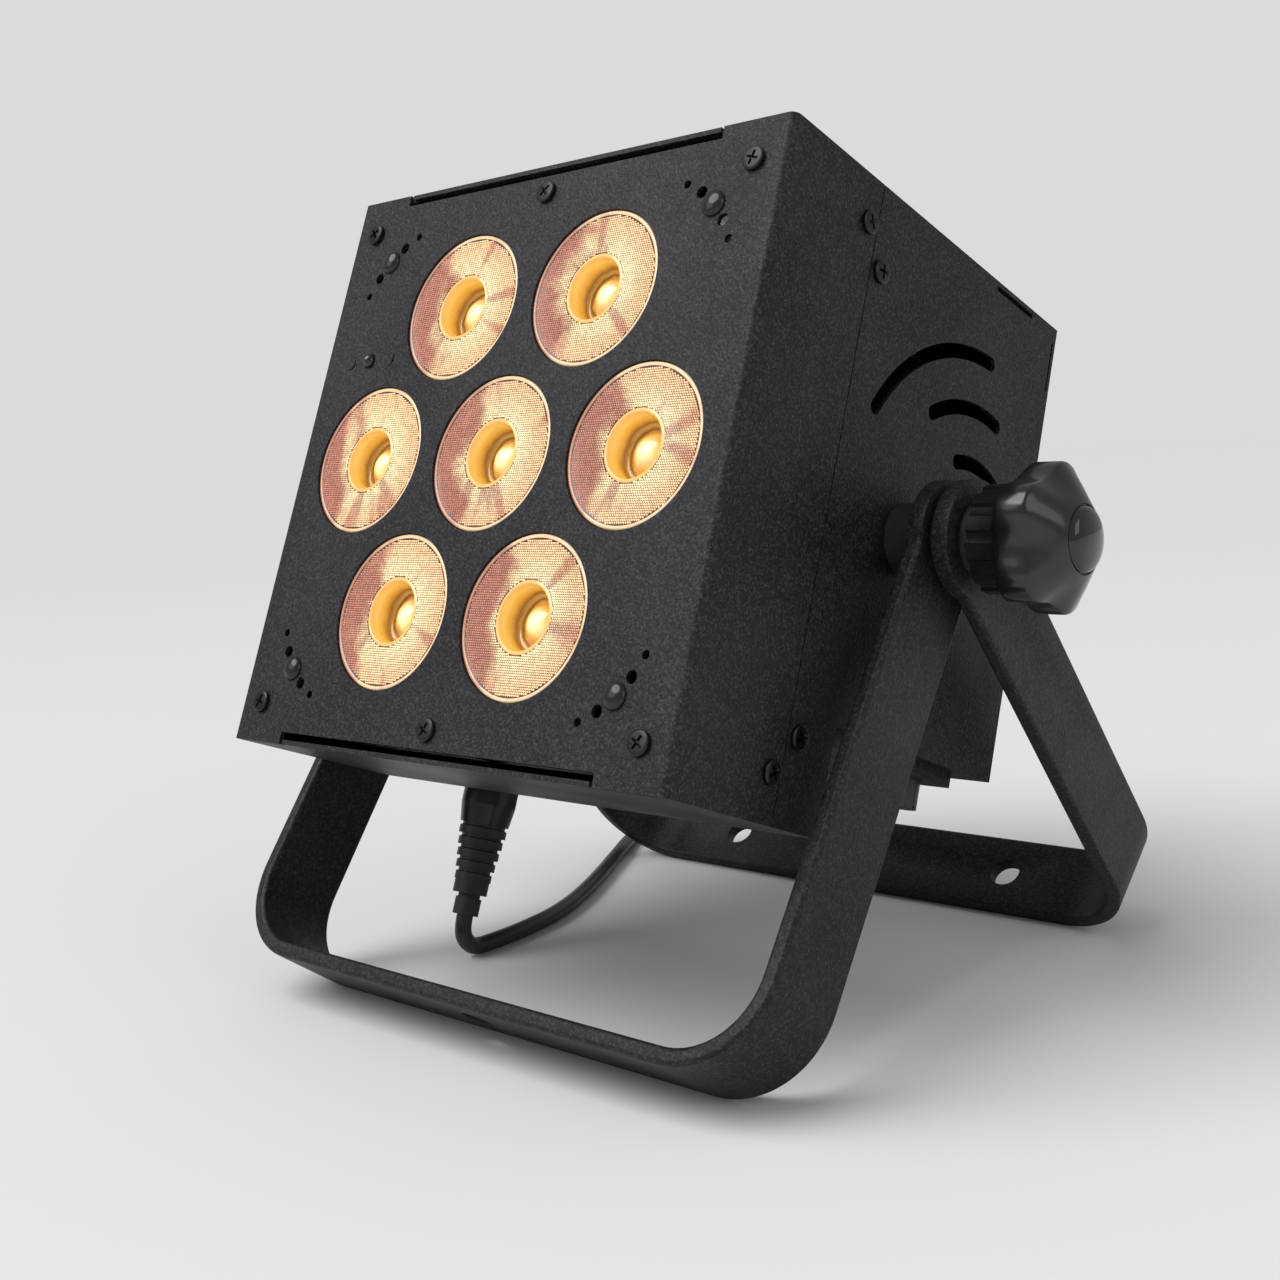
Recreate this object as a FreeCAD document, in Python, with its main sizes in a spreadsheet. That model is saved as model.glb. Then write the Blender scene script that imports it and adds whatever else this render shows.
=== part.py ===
# LED par light: a square sheet-metal lamp with seven lenses, carried by two folding yokes.
# The lamp stands tilted back on its splayed yokes. X runs to the right, Y to the back, Z up.
import FreeCAD, Part
import Sketcher
import math
import os
import re

Vector = FreeCAD.Vector
Rotation = FreeCAD.Rotation
Placement = FreeCAD.Placement

# Driving sizes in millimetres and degrees. Depths count from the front face, heights from the
# middle of the face, unless the name says otherwise.
SIZES = {
    # pose of the lamp on the floor
    "tilt_angle": 21.5,
    "front_lean": 35.8,
    # sheet-metal case
    "face_width": 188.0,
    "face_height": 190.0,
    "case_depth": 157.0,
    "wall": 1.5,
    "bend_radius": 2.6,
    "pivot_depth": 86.0,
    "pivot_drop": 1.7,
    "cover_return": 45.5,
    "seam_gap": 0.4,
    "bay_depth": 67.5,
    "bay_rise": 32.5,
    "cut_over": 1.0,
    # tongues and tabs that hook the sheets into each other
    "tongue_length": 135.0,
    "tongue_notch": 3.9,
    "tongue_end_gap": 1.2,
    "slot_gap": 0.2,
    "side_tab_front": 14.8,
    "side_tab_back": 18.0,
    "side_slot_length": 24.0,
    "side_slot_drop": 1.7,
    "rear_slot": 0.9,
    "rear_tab_height": 81.0,
    "rear_tab_length": 17.0,
    # lenses and what carries them
    "lens_pitch": 58.0,
    "lens_radius": 24.7,
    "lens_hole_gap": 0.3,
    "lens_recess": 0.6,
    "lens_rim": 3.0,
    "lens_step": 1.2,
    "lens_depth": 26.2,
    "lens_foot_radius": 7.0,
    "lens_well_radius": 9.6,
    "lens_well_depth": 8.0,
    "lens_bump_radius": 8.0,
    "lens_bump_height": 3.5,
    "lens_cup_radius": 4.6,
    "lens_cup_depth": 4.0,
    "holder_radius": 26.4,
    "holder_gap": 0.3,
    "board_depth": 28.0,
    "board_thick": 1.6,
    "board_width": 170.0,
    "emitter_side": 7.0,
    "emitter_thick": 1.0,
    "emitter_dome": 3.0,
    "sink_base": 5.0,
    "sink_width": 176.0,
    "sink_height": 178.0,
    "fin_depth": 25.0,
    "fin_thick": 1.8,
    "fin_pitch": 8.0,
    "fin_count": 17.0,
    "fin_height": 150.0,
    # perforations of the face corners
    "corner_center": 62.8,
    "corner_bend": 37.0,
    "corner_step_angle": 10.9,
    "corner_small": 1.3,
    "corner_medium": 1.9,
    "corner_large": 2.6,
    "rivet_radius": 4.0,
    "rivet_height": 2.2,
    "rivet_tail": 3.0,
    # remote-control receiver beside the left lens
    "eye_side": 69.6,
    "eye_height": 34.8,
    "eye_radius": 2.4,
    "eye_gap": 0.2,
    "eye_block_width": 27.0,
    "eye_block_height": 9.0,
    "eye_block_depth": 4.0,
    "eye_stud_spread": 10.0,
    "eye_stud_radius": 1.5,
    "eye_stud_head": 2.3,
    "eye_stud_proud": 0.3,
    # screws
    "screw_head": 3.65,
    "screw_head_height": 1.5,
    "screw_shank": 1.9,
    "screw_length": 9.0,
    "screw_hole": 2.1,
    "screw_bore_gap": 0.05,
    "recess_length": 4.4,
    "recess_width": 0.9,
    "recess_depth": 1.0,
    "face_screw_side": 82.5,
    "face_screw_height": 82.2,
    "face_screw_middle": 85.3,
    "post_radius": 4.0,
    "post_gap": 1.2,
    "side_screw_front": 41.0,
    "side_screw_rear": 50.5,
    "side_screw_high": 80.9,
    "side_screw_low": 69.5,
    "side_screw_length": 6.0,
    # rails behind the seams, which join cover, side panels and heat sink
    "rail_flange": 14.0,
    "rail_overlap": 12.0,
    "rail_inset": 3.0,
    # arc vents of the side panels
    "vent_centre_depth": 119.0,
    "vent_centre_height": 0.8,
    "vent_width": 4.8,
    "vent_outer": 66.5,
    "vent_outer_start": 90.5,
    "vent_outer_end": 153.0,
    "vent_middle": 49.0,
    "vent_middle_start": 80.0,
    "vent_middle_end": 126.5,
    "vent_inner": 31.7,
    "vent_inner_start": 64.0,
    "vent_inner_end": 111.0,
    # pivot on each side
    "stud_radius": 4.0,
    "stud_gap": 0.05,
    "insert_radius": 7.0,
    "insert_flange": 10.0,
    "insert_flange_thick": 3.0,
    "insert_length": 13.5,
    "spacer_radius": 11.0,
    "spacer_length": 12.0,
    "rub_gap": 0.05,
    # yokes of flat strap
    "strap_width": 31.0,
    "strap_thick": 5.0,
    "strap_round": 1.5,
    "strap_bend": 29.0,
    "strap_eye": 17.5,
    "front_drop": 168.0,
    "rear_drop": 174.5,
    "washer_thick": 3.2,
    "washer_radius": 13.0,
    "hang_hole": 5.5,
    "hang_spread": 62.5,
    # clamping knobs
    "knob_washer_radius": 11.0,
    "knob_washer_thick": 4.3,
    "hub_radius": 16.0,
    "hub_length": 8.9,
    "hub_ribs": 12.0,
    "flute_radius": 1.7,
    "head_radius": 22.4,
    "head_valley": 18.6,
    "head_length": 20.1,
    "head_lobes": 5.0,
    "head_phase": 21.5,
    "head_chamfer": 3.2,
    "head_cone": 7.8,
    "head_lip": 0.8,
    "cap_radius": 9.5,
    "cap_seat": 1.5,
    "cap_height": 3.2,
    "stud_engage": 10.5,
    "stud_in_knob": 12.0,
    # cooling fan
    "fan_side": 60.0,
    "fan_thick": 15.0,
    "fan_height": 12.0,
    "fan_bore": 28.0,
    "fan_hub": 11.5,
    "fan_blade_reach": 26.8,
    "fan_blades": 7.0,
    "fan_blade_thick": 1.4,
    "fan_blade_chord": 13.0,
    "fan_blade_angle": 38.0,
    "fan_motor_plate": 3.0,
    "fan_strut": 3.0,
    "fan_pin": 1.5,
    "fan_gap": 0.5,
    "fan_screw_spread": 25.0,
    "grille_slot": 3.6,
    "grille_rings": 4.0,
    "grille_pitch": 6.4,
    "grille_spoke": 4.0,
    # electronics
    "driver_width": 104.0,
    "driver_length": 62.0,
    "driver_hang": 12.0,
    "driver_back": 11.0,
    "standoff_radius": 3.0,
    "standoff_inset": 5.0,
    "chip_side": 14.0,
    "chip_height": 2.4,
    "coil_radius": 7.0,
    "coil_height": 9.0,
    "supply_width": 124.0,
    "supply_clear": 12.7,
    "supply_height": 40.0,
    "supply_terminal": 9.0,
    # display and keys on the back
    "panel_height": 70.0,
    "window_width": 38.0,
    "window_height": 15.0,
    "window_side": 17.0,
    "window_lip": 1.0,
    "window_proud": 0.4,
    "display_gap": 6.4,
    "display_board_width": 89.0,
    "display_board_height": 26.0,
    "key_radius": 3.0,
    "key_flange": 4.2,
    "key_flange_thick": 1.5,
    "key_pitch": 9.0,
    "key_first": 9.0,
    "key_proud": 1.6,
    "key_travel": 0.8,
    "key_gap": 0.2,
    "key_switch_side": 6.0,
    # connector bay
    "pan_drop": 5.0,
    "pan_half_width": 88.0,
    "pan_front": 72.0,
    "pan_back": 14.0,
    "signal_depth": 93.0,
    "signal_in_side": 67.0,
    "signal_out_side": 33.0,
    "flange_width": 26.0,
    "flange_length": 31.0,
    "flange_thick": 2.0,
    "socket_radius": 11.8,
    "socket_rise": 24.0,
    "cup_radius": 9.8,
    "cup_depth": 17.0,
    "pin_radius": 1.2,
    "pin_circle": 4.2,
    "pin_length": 11.0,
    "insert_face": 7.6,
    "insert_recess": 6.5,
    "latch_width": 8.0,
    "latch_length": 4.0,
    "latch_proud": 1.2,
    "latch_travel": 1.0,
    "latch_gap": 0.2,
    "power_side": 20.0,
    "power_flange_width": 50.0,
    "power_flange_length": 27.0,
    "power_body_width": 28.0,
    "power_body_length": 20.0,
    "power_recess_width": 24.4,
    "power_recess_length": 16.4,
    "power_recess_depth": 17.0,
    "power_rise": 20.0,
    "blade_width": 4.0,
    "blade_thick": 2.0,
    "blade_length": 10.0,
    "blade_spread": 7.0,
    "fuse_side": 75.0,
    "fuse_clear": 1.3,
    "fuse_cap": 7.2,
    "fuse_cap_height": 9.0,
    "fuse_body": 6.2,
    "fuse_rise": 28.0,
    # signal lead
    "cord_radius": 3.0,
    "floor_gap": 0.2,
    "shell_radius": 9.7,
    "shell_length": 29.0,
    "shell_taper": 7.0,
    "shell_nut": 8.7,
    "nose_radius": 9.3,
    "nose_bore": 6.4,
    "nose_length": 14.0,
    "boot_radius": 8.4,
    "boot_end": 6.0,
    "boot_length": 20.0,
    "boot_ribs": 5.0,
    "boot_groove": 0.8,
    "collar_radius": 6.1,
    "collar_length": 4.6,
    "neck_radius": 3.9,
    "neck_length": 1.4,
    "sleeve_radius": 4.6,
    "sleeve_length": 6.0,
    "coil_outer": 41.0,
    "coil_pitch": 6.5,
    "coil_layer": 6.8,
    "coil_turns_in": 3.0,
    "coil_turns_out": 2.75,
    "coil_tail": 20.0,
}

# The free part of the lead on the floor, as side and back distances from where it comes to lie.
LEAD_ROUTE = [
    (0.6, 8.5),
    (0.1, 23.9),
    (-4.0, 46.9),
    (-17.0, 75.9),
    (-40.2, 116.4),
    (-61.0, 151.5),
    (-67.5, 187.2),
    (-57.5, 214.7),
    (-36.0, 234.7),
    (-18.0, 253.7),
    (-18.0, 273.7),
]

doc = FreeCAD.newDocument("led_par_light")
sheet = doc.addObject("Spreadsheet::Sheet", "sizes")
for row, (alias, value) in enumerate(SIZES.items(), start=1):
    sheet.set(f"A{row}", alias)
    sheet.set(f"B{row}", str(value))
    sheet.setAlias(f"B{row}", alias)
doc.recompute()

# Combined sizes that many pieces share, as formulas on the sheet's cells.
FORMULAS = {
    "@front": "(-pivot_depth)",
    "@rear": "(case_depth - pivot_depth)",
    "@middle": "pivot_drop",
    "@top": "(face_height / 2 + pivot_drop)",
    "@low": "(pivot_drop - face_height / 2)",
    "@ceiling": "(pivot_drop - face_height / 2 + bay_rise)",
    "@bay": "(bay_depth - pivot_depth)",
    "@pan": "(pivot_drop - face_height / 2 + bay_rise - pan_drop)",
    "@side": "(face_width / 2)",
    "@inner": "(face_width / 2 - wall)",
    "@seam": "(cover_return - pivot_depth)",
    "@board": "(board_depth - pivot_depth)",
    "@sink": "(board_depth + board_thick - pivot_depth)",
    "@sinkback": "(board_depth + board_thick + sink_base - pivot_depth)",
    "@front_strap": "(face_width / 2 + spacer_length)",
    "@rear_strap": "(face_width / 2 + spacer_length + strap_thick + washer_thick)",
    "@knob_washer": "(face_width / 2 + spacer_length + 2 * strap_thick + washer_thick)",
    "@knob": "(face_width / 2 + spacer_length + 2 * strap_thick + washer_thick + knob_washer_thick)",
    "@panel": "(panel_height + pivot_drop)",
    "@tab_length": "(case_depth - cover_return - side_tab_front - side_tab_back)",
    "@pan_rear": "(case_depth - pan_back)",
    "@fuse_depth": "(case_depth - pan_back - wall - fuse_cap - fuse_clear)",
    "@board_height": "(2 * (face_screw_height - post_radius - post_gap))",
    "@supply_depth": "(case_depth - wall - signal_depth - socket_radius - supply_clear)",
    "@fan": "(fan_height + pivot_drop)",
}


def plain(text):
    # Spells out the shared formulas of an expression.
    for mark in sorted(FORMULAS, key=len, reverse=True):
        text = text.replace(mark, FORMULAS[mark])
    return text


def bound(text):
    # The same expression with the sheet's name before each size.
    return re.sub(r"[a-z][a-z_]*", lambda word: "sizes." + word[0] if word[0] in SIZES else word[0], plain(text))


def number(text):
    return float(sheet.evalExpression(plain(text)))


def bind(item, prop, text):
    item.setExpression(prop, bound(text))


def place(item, x, y, z, rotation=None):
    item.Placement = Placement(Vector(), rotation or Rotation())
    for prop, text in (("x", x), ("y", y), ("z", z)):
        bind(item, "Placement.Base." + prop, text)
    return item


def box(name, x, y, z, length, width, height):
    item = doc.addObject("Part::Box", name)
    bind(item, "Length", length)
    bind(item, "Width", width)
    bind(item, "Height", height)
    return place(item, x, y, z)


AXES = {"X": Rotation(Vector(0, 1, 0), 90), "Y": Rotation(Vector(1, 0, 0), -90), "Z": Rotation()}
BACKWARDS = {"X": Rotation(Vector(0, 1, 0), -90), "Y": Rotation(Vector(1, 0, 0), 90), "Z": Rotation(Vector(1, 0, 0), 180)}


def rod(name, axis, x, y, z, radius, length, backwards=False):
    item = doc.addObject("Part::Cylinder", name)
    bind(item, "Radius", radius)
    bind(item, "Height", length)
    return place(item, x, y, z, (BACKWARDS if backwards else AXES)[axis])


def cone(name, axis, x, y, z, start, end, length, backwards=False):
    item = doc.addObject("Part::Cone", name)
    bind(item, "Radius1", start)
    bind(item, "Radius2", end)
    bind(item, "Height", length)
    return place(item, x, y, z, (BACKWARDS if backwards else AXES)[axis])


def ball(name, x, y, z, radius):
    item = doc.addObject("Part::Sphere", name)
    bind(item, "Radius", radius)
    return place(item, x, y, z)


def fuse(name, *pieces):
    if len(pieces) == 1:
        return pieces[0]
    item = doc.addObject("Part::MultiFuse", name)
    item.Shapes = list(pieces)
    return item


def cut(name, base, *tools):
    item = doc.addObject("Part::Cut", name)
    item.Base = base
    item.Tool = fuse(name + "_tools", *tools)
    return item


def group(name, *pieces):
    item = doc.addObject("Part::Compound", name)
    item.Links = list(pieces)
    return item


def solid(name, shape):
    item = doc.addObject("Part::Feature", name)
    item.Shape = shape
    return item


def sketch_on(body, role, name, offset="0"):
    sketch = body.newObject("Sketcher::SketchObject", name)
    plane = next(item for item in body.Origin.OriginFeatures if item.Role == role)
    sketch.AttachmentSupport = [(plane, "")]
    sketch.MapMode = "FlatFace"
    if offset != "0":
        bind(sketch, "AttachmentOffset.Base.z", offset)
    return sketch


def fix_point(sketch, geometry, point, x, y):
    for kind, text in (("DistanceX", x), ("DistanceY", y)):
        index = sketch.addConstraint(Sketcher.Constraint(kind, -1, 1, geometry, point, number(text)))
        bind(sketch, f"Constraints[{index}]", text)


def add_outline(sketch, corners, closed=True):
    first = sketch.GeometryCount
    places = [Vector(number(x), number(y), 0) for x, y in corners]
    ends = places[1:] + places[:1] if closed else places[1:]
    for start, end in zip(places, ends):
        sketch.addGeometry(Part.LineSegment(start, end), False)
    last = first + len(ends) - 1
    for index, (x, y) in enumerate(corners[:len(ends)]):
        if closed or index:
            before = first + index - 1 if index else last
            sketch.addConstraint(Sketcher.Constraint("Coincident", before, 2, first + index, 1))
        fix_point(sketch, first + index, 1, x, y)
    if not closed:
        fix_point(sketch, last, 2, *corners[-1])


def add_rectangle(sketch, x, y, width, height):
    # A rectangle about its middle.
    left, right = f"{x} - ({width}) / 2", f"{x} + ({width}) / 2"
    low, high = f"{y} - ({height}) / 2", f"{y} + ({height}) / 2"
    add_outline(sketch, [(left, low), (right, low), (right, high), (left, high)])


def add_circle(sketch, x, y, radius):
    centre = Vector(number(x), number(y), 0)
    index = sketch.addGeometry(Part.Circle(centre, Vector(0, 0, 1), number(radius)), False)
    fix_point(sketch, index, 3, x, y)
    constraint = sketch.addConstraint(Sketcher.Constraint("Radius", index, number(radius)))
    bind(sketch, f"Constraints[{constraint}]", radius)


def pad(body, sketch, name, length, middle=False):
    item = body.newObject("PartDesign::Pad", name)
    item.Profile = sketch
    bind(item, "Length", length)
    if middle:
        item.SideType = "Symmetric"
    sketch.Visibility = False
    doc.recompute()
    return item


def pierce(body, sketch, name):
    # Cuts the sketch through the whole body, both ways from its plane.
    before = body.Shape.Volume
    item = body.newObject("PartDesign::Pocket", name)
    item.Profile = sketch
    item.SideType = "Symmetric"
    item.Type = "ThroughAll"
    doc.recompute()
    assert body.Shape.Volume < before, f"{name} cuts nothing"
    return item


def round_edges(body, base, name, edges, radius):
    item = body.newObject("PartDesign::Fillet", name)
    item.Base = (base, edges)
    bind(item, "Radius", radius)
    doc.recompute()
    return item


def new_body(name):
    return doc.addObject("PartDesign::Body", name)


def edges_where(shape, test):
    return [f"Edge{index}" for index, edge in enumerate(shape.Edges, start=1) if test(edge)]


nodes = {}


def keep(name, item, frame="case"):
    item.Label = name
    nodes[name] = (item, frame, item.Placement.copy())


# Places that repeat: the seven lenses and the screws.
ROW_SHARE = math.sqrt(3) / 2
LENSES = [("-lens_pitch", "@middle"), ("0 * lens_pitch", "@middle"), ("lens_pitch", "@middle")]
for row_side in (1, -1):
    for column_share in (-0.5, 0.5):
        LENSES.append((f"{column_share} * lens_pitch", f"@middle + {row_side * ROW_SHARE} * lens_pitch"))
FACE_SCREWS = [(f"{sx} * face_screw_side", f"@middle + {sz} * face_screw_height") for sx in (-1, 1) for sz in (-1, 1)]
FACE_SCREWS += [("0 * face_screw_side", f"@middle + {sz} * face_screw_middle") for sz in (-1, 1)]
SIDE_SCREWS = [("side_screw_front - pivot_depth", f"@middle + {sz} * side_screw_high") for sz in (-1, 1)]
SIDE_SCREWS += [("side_screw_rear - pivot_depth", f"@middle + {sz} * side_screw_low") for sz in (-1, 1)]
FAN_SCREWS = [(f"{sx} * fan_screw_spread", f"@fan + {sz} * fan_screw_spread") for sx in (-1, 1) for sz in (-1, 1)]


def corner_holes():
    # Five holes on an arc in each corner, its centre on the face's diagonal.
    radii = ("corner_small", "corner_medium", "corner_large", "corner_medium", "corner_small")
    for sx in (-1, 1):
        for sz in (-1, 1):
            for step, radius in zip((-2, -1, 0, 1, 2), radii):
                angle = f"((45 + {step} * corner_step_angle) * 1 deg)"
                across = f"(corner_center * cos(45 deg) + corner_bend * cos{angle})"
                up = f"(corner_center * sin(45 deg) + corner_bend * sin{angle})"
                yield (f"{sx} * {across}", f"@middle + {sz} * {up}", radius)


def make_front_cover():
    body = new_body("front_cover")
    outline = sketch_on(body, "XY_Plane", "cover_outline", "@low")
    add_outline(outline, [
        ("-@side", "@front"), ("@side", "@front"), ("@side", "@seam"), ("@inner", "@seam"),
        ("@inner", "@front + wall"), ("-@inner", "@front + wall"), ("-@inner", "@seam"), ("-@side", "@seam"),
    ])
    sheet_metal = pad(body, outline, "cover_sheet", "face_height")
    front, side, wall = number("@front"), number("@side"), number("wall")

    def upright_at(edge, x, y):
        middle = edge.CenterOfMass
        return abs(abs(middle.x) - x) < 1e-6 and abs(middle.y - y) < 1e-6 and len(edge.Vertexes) == 2
    outer = edges_where(sheet_metal.Shape, lambda edge: upright_at(edge, side, front))
    bent = round_edges(body, sheet_metal, "cover_bend", outer, "bend_radius")
    inner = edges_where(bent.Shape, lambda edge: upright_at(edge, side - wall, front + wall))
    round_edges(body, bent, "cover_inner_bend", inner, "bend_radius - wall")
    holes = sketch_on(body, "XZ_Plane", "cover_holes")
    for x, z in LENSES:
        add_circle(holes, x, z, "lens_radius + lens_hole_gap")
    for x, z, radius in corner_holes():
        add_circle(holes, x, z, radius)
    for x, z in FACE_SCREWS:
        add_circle(holes, x, z, "screw_hole")
    add_circle(holes, "-eye_side", "@middle + eye_height", "eye_radius + eye_gap")
    for side_share in (-1, 1):
        add_circle(holes, f"{side_share} * eye_stud_spread - eye_side", "@middle + eye_height", "eye_stud_radius")
    for edge, sign in (("@top", "+"), ("@low", "-")):
        add_rectangle(holes, "0 * wall", f"{edge} {sign} (cut_over - tongue_notch) / 2",
                      "tongue_length + 2 * tongue_end_gap", "tongue_notch + cut_over")
    pierce(body, holes, "cover_cuts")
    side_holes = sketch_on(body, "YZ_Plane", "cover_side_holes")
    for y, z in SIDE_SCREWS[:2]:
        add_circle(side_holes, y, z, "screw_hole")
    pierce(body, side_holes, "cover_side_cuts")
    keep("front_cover", body)


def make_top_panel():
    plate = box("top_plate", "-@inner", "@front + bend_radius", "@top - wall",
                "2 * @inner", "case_depth - wall - bend_radius", "wall")
    # The sheet runs on into the notch of the face, and over the top edges of the side panels.
    tongue = box("top_tongue", "-tongue_length / 2", "@front + slot_gap", "@top - wall",
                 "tongue_length", "bend_radius - slot_gap", "wall")
    tabs = [box(f"top_tab_{index}", x, "@seam + side_tab_front", "@top - wall", "wall", "@tab_length", "wall")
            for index, x in enumerate(("-@side", "@inner"))]
    keep("top_panel", fuse("top_panel", plate, tongue, *tabs))


def make_bottom_panel():
    body = new_body("bottom_panel")
    profile = sketch_on(body, "YZ_Plane", "bottom_profile")
    add_outline(profile, [
        ("@front + bend_radius", "@low"), ("@bay", "@low"), ("@bay", "@ceiling"), ("@rear - wall", "@ceiling"),
        ("@rear - wall", "@ceiling + wall"), ("@bay - wall", "@ceiling + wall"), ("@bay - wall", "@low + wall"),
        ("@front + bend_radius", "@low + wall"),
    ])
    pad(body, profile, "bottom_sheet", "2 * @inner", middle=True)
    tongue_sketch = sketch_on(body, "YZ_Plane", "bottom_tongue")
    add_outline(tongue_sketch, [
        ("@front + slot_gap", "@low"), ("@front + 2 * bend_radius", "@low"),
        ("@front + 2 * bend_radius", "@low + wall"), ("@front + slot_gap", "@low + wall"),
    ])
    pad(body, tongue_sketch, "bottom_tongue_sheet", "tongue_length", middle=True)
    opening = sketch_on(body, "XY_Plane", "bay_opening")
    bay_length = "(@pan_rear - pan_front - 4 * wall)"
    add_rectangle(opening, "0 * wall", "(pan_front + @pan_rear) / 2 - pivot_depth", "2 * pan_half_width - 4 * wall", bay_length)
    pierce(body, opening, "bay_cut")
    keep("bottom_panel", body)


def arc_vent(name, side, radius):
    # One curved slot with round ends, through the side panel.
    first_angle, last_angle = number(radius + "_start"), number(radius + "_end")
    x = "@inner - cut_over" if side > 0 else "-@side - cut_over"
    y, z = "vent_centre_depth - pivot_depth", "@middle + vent_centre_height"
    pieces = []
    for part, grow in (("outer", "+"), ("inner", "-")):
        ring = doc.addObject("Part::Cylinder", f"{name}_{part}")
        bind(ring, "Radius", f"{radius} {grow} vent_width / 2")
        bind(ring, "Height", "wall + 2 * cut_over")
        ring.Angle = last_angle - first_angle if part == "outer" else 360
        turn = Rotation(Vector(1, 0, 0), first_angle).multiply(Rotation(Vector(0.5, 0.5, 0.5), 120))
        pieces.append(place(ring, x, y, z, turn))
    slot = cut(name + "_slot", *pieces)
    ends = [rod(f"{name}_{end}", "X", x, f"{y} + {radius} * cos({radius}_{end} * 1 deg)",
                f"{z} + {radius} * sin({radius}_{end} * 1 deg)", "vent_width / 2", "wall + 2 * cut_over")
            for end in ("start", "end")]
    return fuse(name, slot, *ends)


def make_side_panel(name, side):
    x = "@inner" if side > 0 else "-@side"
    start, over = "@seam + seam_gap", "wall + 2 * cut_over"
    clear = f"{x} - cut_over"
    plate = box(name + "_plate", x, start, "@low", "wall", "@rear - @seam - seam_gap", "face_height")
    tools = [
        box(name + "_bay", clear, "@bay", "@low - cut_over", over, "@rear - @bay + cut_over", "bay_rise + cut_over"),
        rod(name + "_pivot_hole", "X", clear, "0 * wall", "0 * wall", "insert_radius", over),
        box(name + "_top_notch", clear, "@seam + side_tab_front - slot_gap", "@top - wall", over,
            "@tab_length + 2 * slot_gap", "wall + cut_over"),
        box(name + "_top_slot", clear, "@rear - side_tab_back + slot_gap - side_slot_length",
            "@top - wall - side_slot_drop", over, "side_slot_length", "wall + side_slot_drop + cut_over"),
        box(name + "_rear_notch", clear, "@rear - wall - rear_slot",
            "rear_tab_height - rear_tab_length / 2 - slot_gap + @middle", over, "wall + rear_slot + cut_over",
            "rear_tab_length + 2 * slot_gap"),
        *[arc_vent(f"{name}_{radius}", side, radius) for radius in ("vent_outer", "vent_middle", "vent_inner")],
    ]
    tools += [rod(f"{name}_screw_{index}", "X", clear, y, z, "screw_hole", over)
              for index, (y, z) in enumerate(SIDE_SCREWS[2:])]
    keep(name, cut(name, plate, *tools))


def grille(name):
    # Round slots of the fan grille, broken by four spokes.
    rings = []
    for index in range(int(number("grille_rings"))):
        radius = f"({index} + 1) * grille_pitch"
        at = ("0 * wall", "@rear - wall - cut_over", "@fan")
        outer = rod(f"{name}_outer_{index}", "Y", *at, radius, "wall + 2 * cut_over")
        inner = rod(f"{name}_inner_{index}", "Y", *at, f"{radius} - grille_slot", "wall + 2 * cut_over")
        rings.append(cut(f"{name}_ring_{index}", outer, inner))
    reach = "2 * (grille_rings + 1) * grille_pitch"
    across = box(name + "_across", f"-({reach}) / 2", "@rear - wall - 2 * cut_over", "@fan - grille_spoke / 2",
                 reach, "wall + 4 * cut_over", "grille_spoke")
    upright = box(name + "_upright", "-grille_spoke / 2", "@rear - wall - 2 * cut_over", f"@fan - ({reach}) / 2",
                  "grille_spoke", "wall + 4 * cut_over", reach)
    return cut(name, group(name + "_rings", *rings), across, upright)


def key_side(index):
    return f"key_first + {index} * key_pitch"


def make_rear_panel():
    plate = box("rear_plate", "-@inner", "@rear - wall", "@ceiling", "2 * @inner", "wall", "@top - @ceiling")
    tabs = [box(f"rear_tab_{index}", x, "@rear - wall", "rear_tab_height - rear_tab_length / 2 + @middle",
                "wall", "wall", "rear_tab_length")
            for index, x in enumerate(("-@side", "@inner"))]
    at = "@rear - wall - cut_over"
    window = box("window_cut", "-window_side - window_width / 2", at, "@panel - window_height / 2",
                 "window_width", "wall + 2 * cut_over", "window_height")
    keys = [rod(f"key_cut_{index}", "Y", key_side(index), at, "@panel", "key_radius + key_gap", "wall + 2 * cut_over")
            for index in range(4)]
    screws = [rod(f"fan_screw_cut_{index}", "Y", x, at, z, "screw_hole", "wall + 2 * cut_over")
              for index, (x, z) in enumerate(FAN_SCREWS)]
    keep("rear_panel", cut("rear_panel", fuse("rear_sheet", plate, *tabs), window, grille("grille"), *keys, *screws))


def make_connector_plate():
    width, length = "2 * pan_half_width", "(@pan_rear - pan_front)"
    shell = box("pan_shell", "-pan_half_width", "pan_front - pivot_depth", "@pan", width, length, "pan_drop")
    hollow = box("pan_hollow", "wall - pan_half_width", "pan_front - pivot_depth + wall", "@pan + wall",
                 f"{width} - 2 * wall", f"{length} - 2 * wall", "pan_drop")
    depth = "signal_depth - pivot_depth"
    holes = [rod(f"pan_signal_{index}", "Z", x, depth, "@pan - cut_over", "socket_radius", "wall + 2 * cut_over")
             for index, x in enumerate(("-signal_in_side", "-signal_out_side"))]
    power = box("pan_power", "power_side - power_body_width / 2", f"{depth} - power_body_length / 2", "@pan - cut_over",
                "power_body_width", "power_body_length", "wall + 2 * cut_over")
    fuse_hole = rod("pan_fuse", "Z", "fuse_side", "@fuse_depth - pivot_depth", "@pan - cut_over", "fuse_body",
                    "wall + 2 * cut_over")
    latch = box("pan_latch", "-signal_out_side - latch_width / 2 - latch_gap", f"{depth} + cup_radius + latch_gap",
                "@pan - cut_over", "latch_width + 2 * latch_gap", "latch_length + latch_gap", "wall + 2 * cut_over")
    keep("connector_plate", cut("connector_plate", shell, hollow, *holes, power, fuse_hole, latch))


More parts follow.
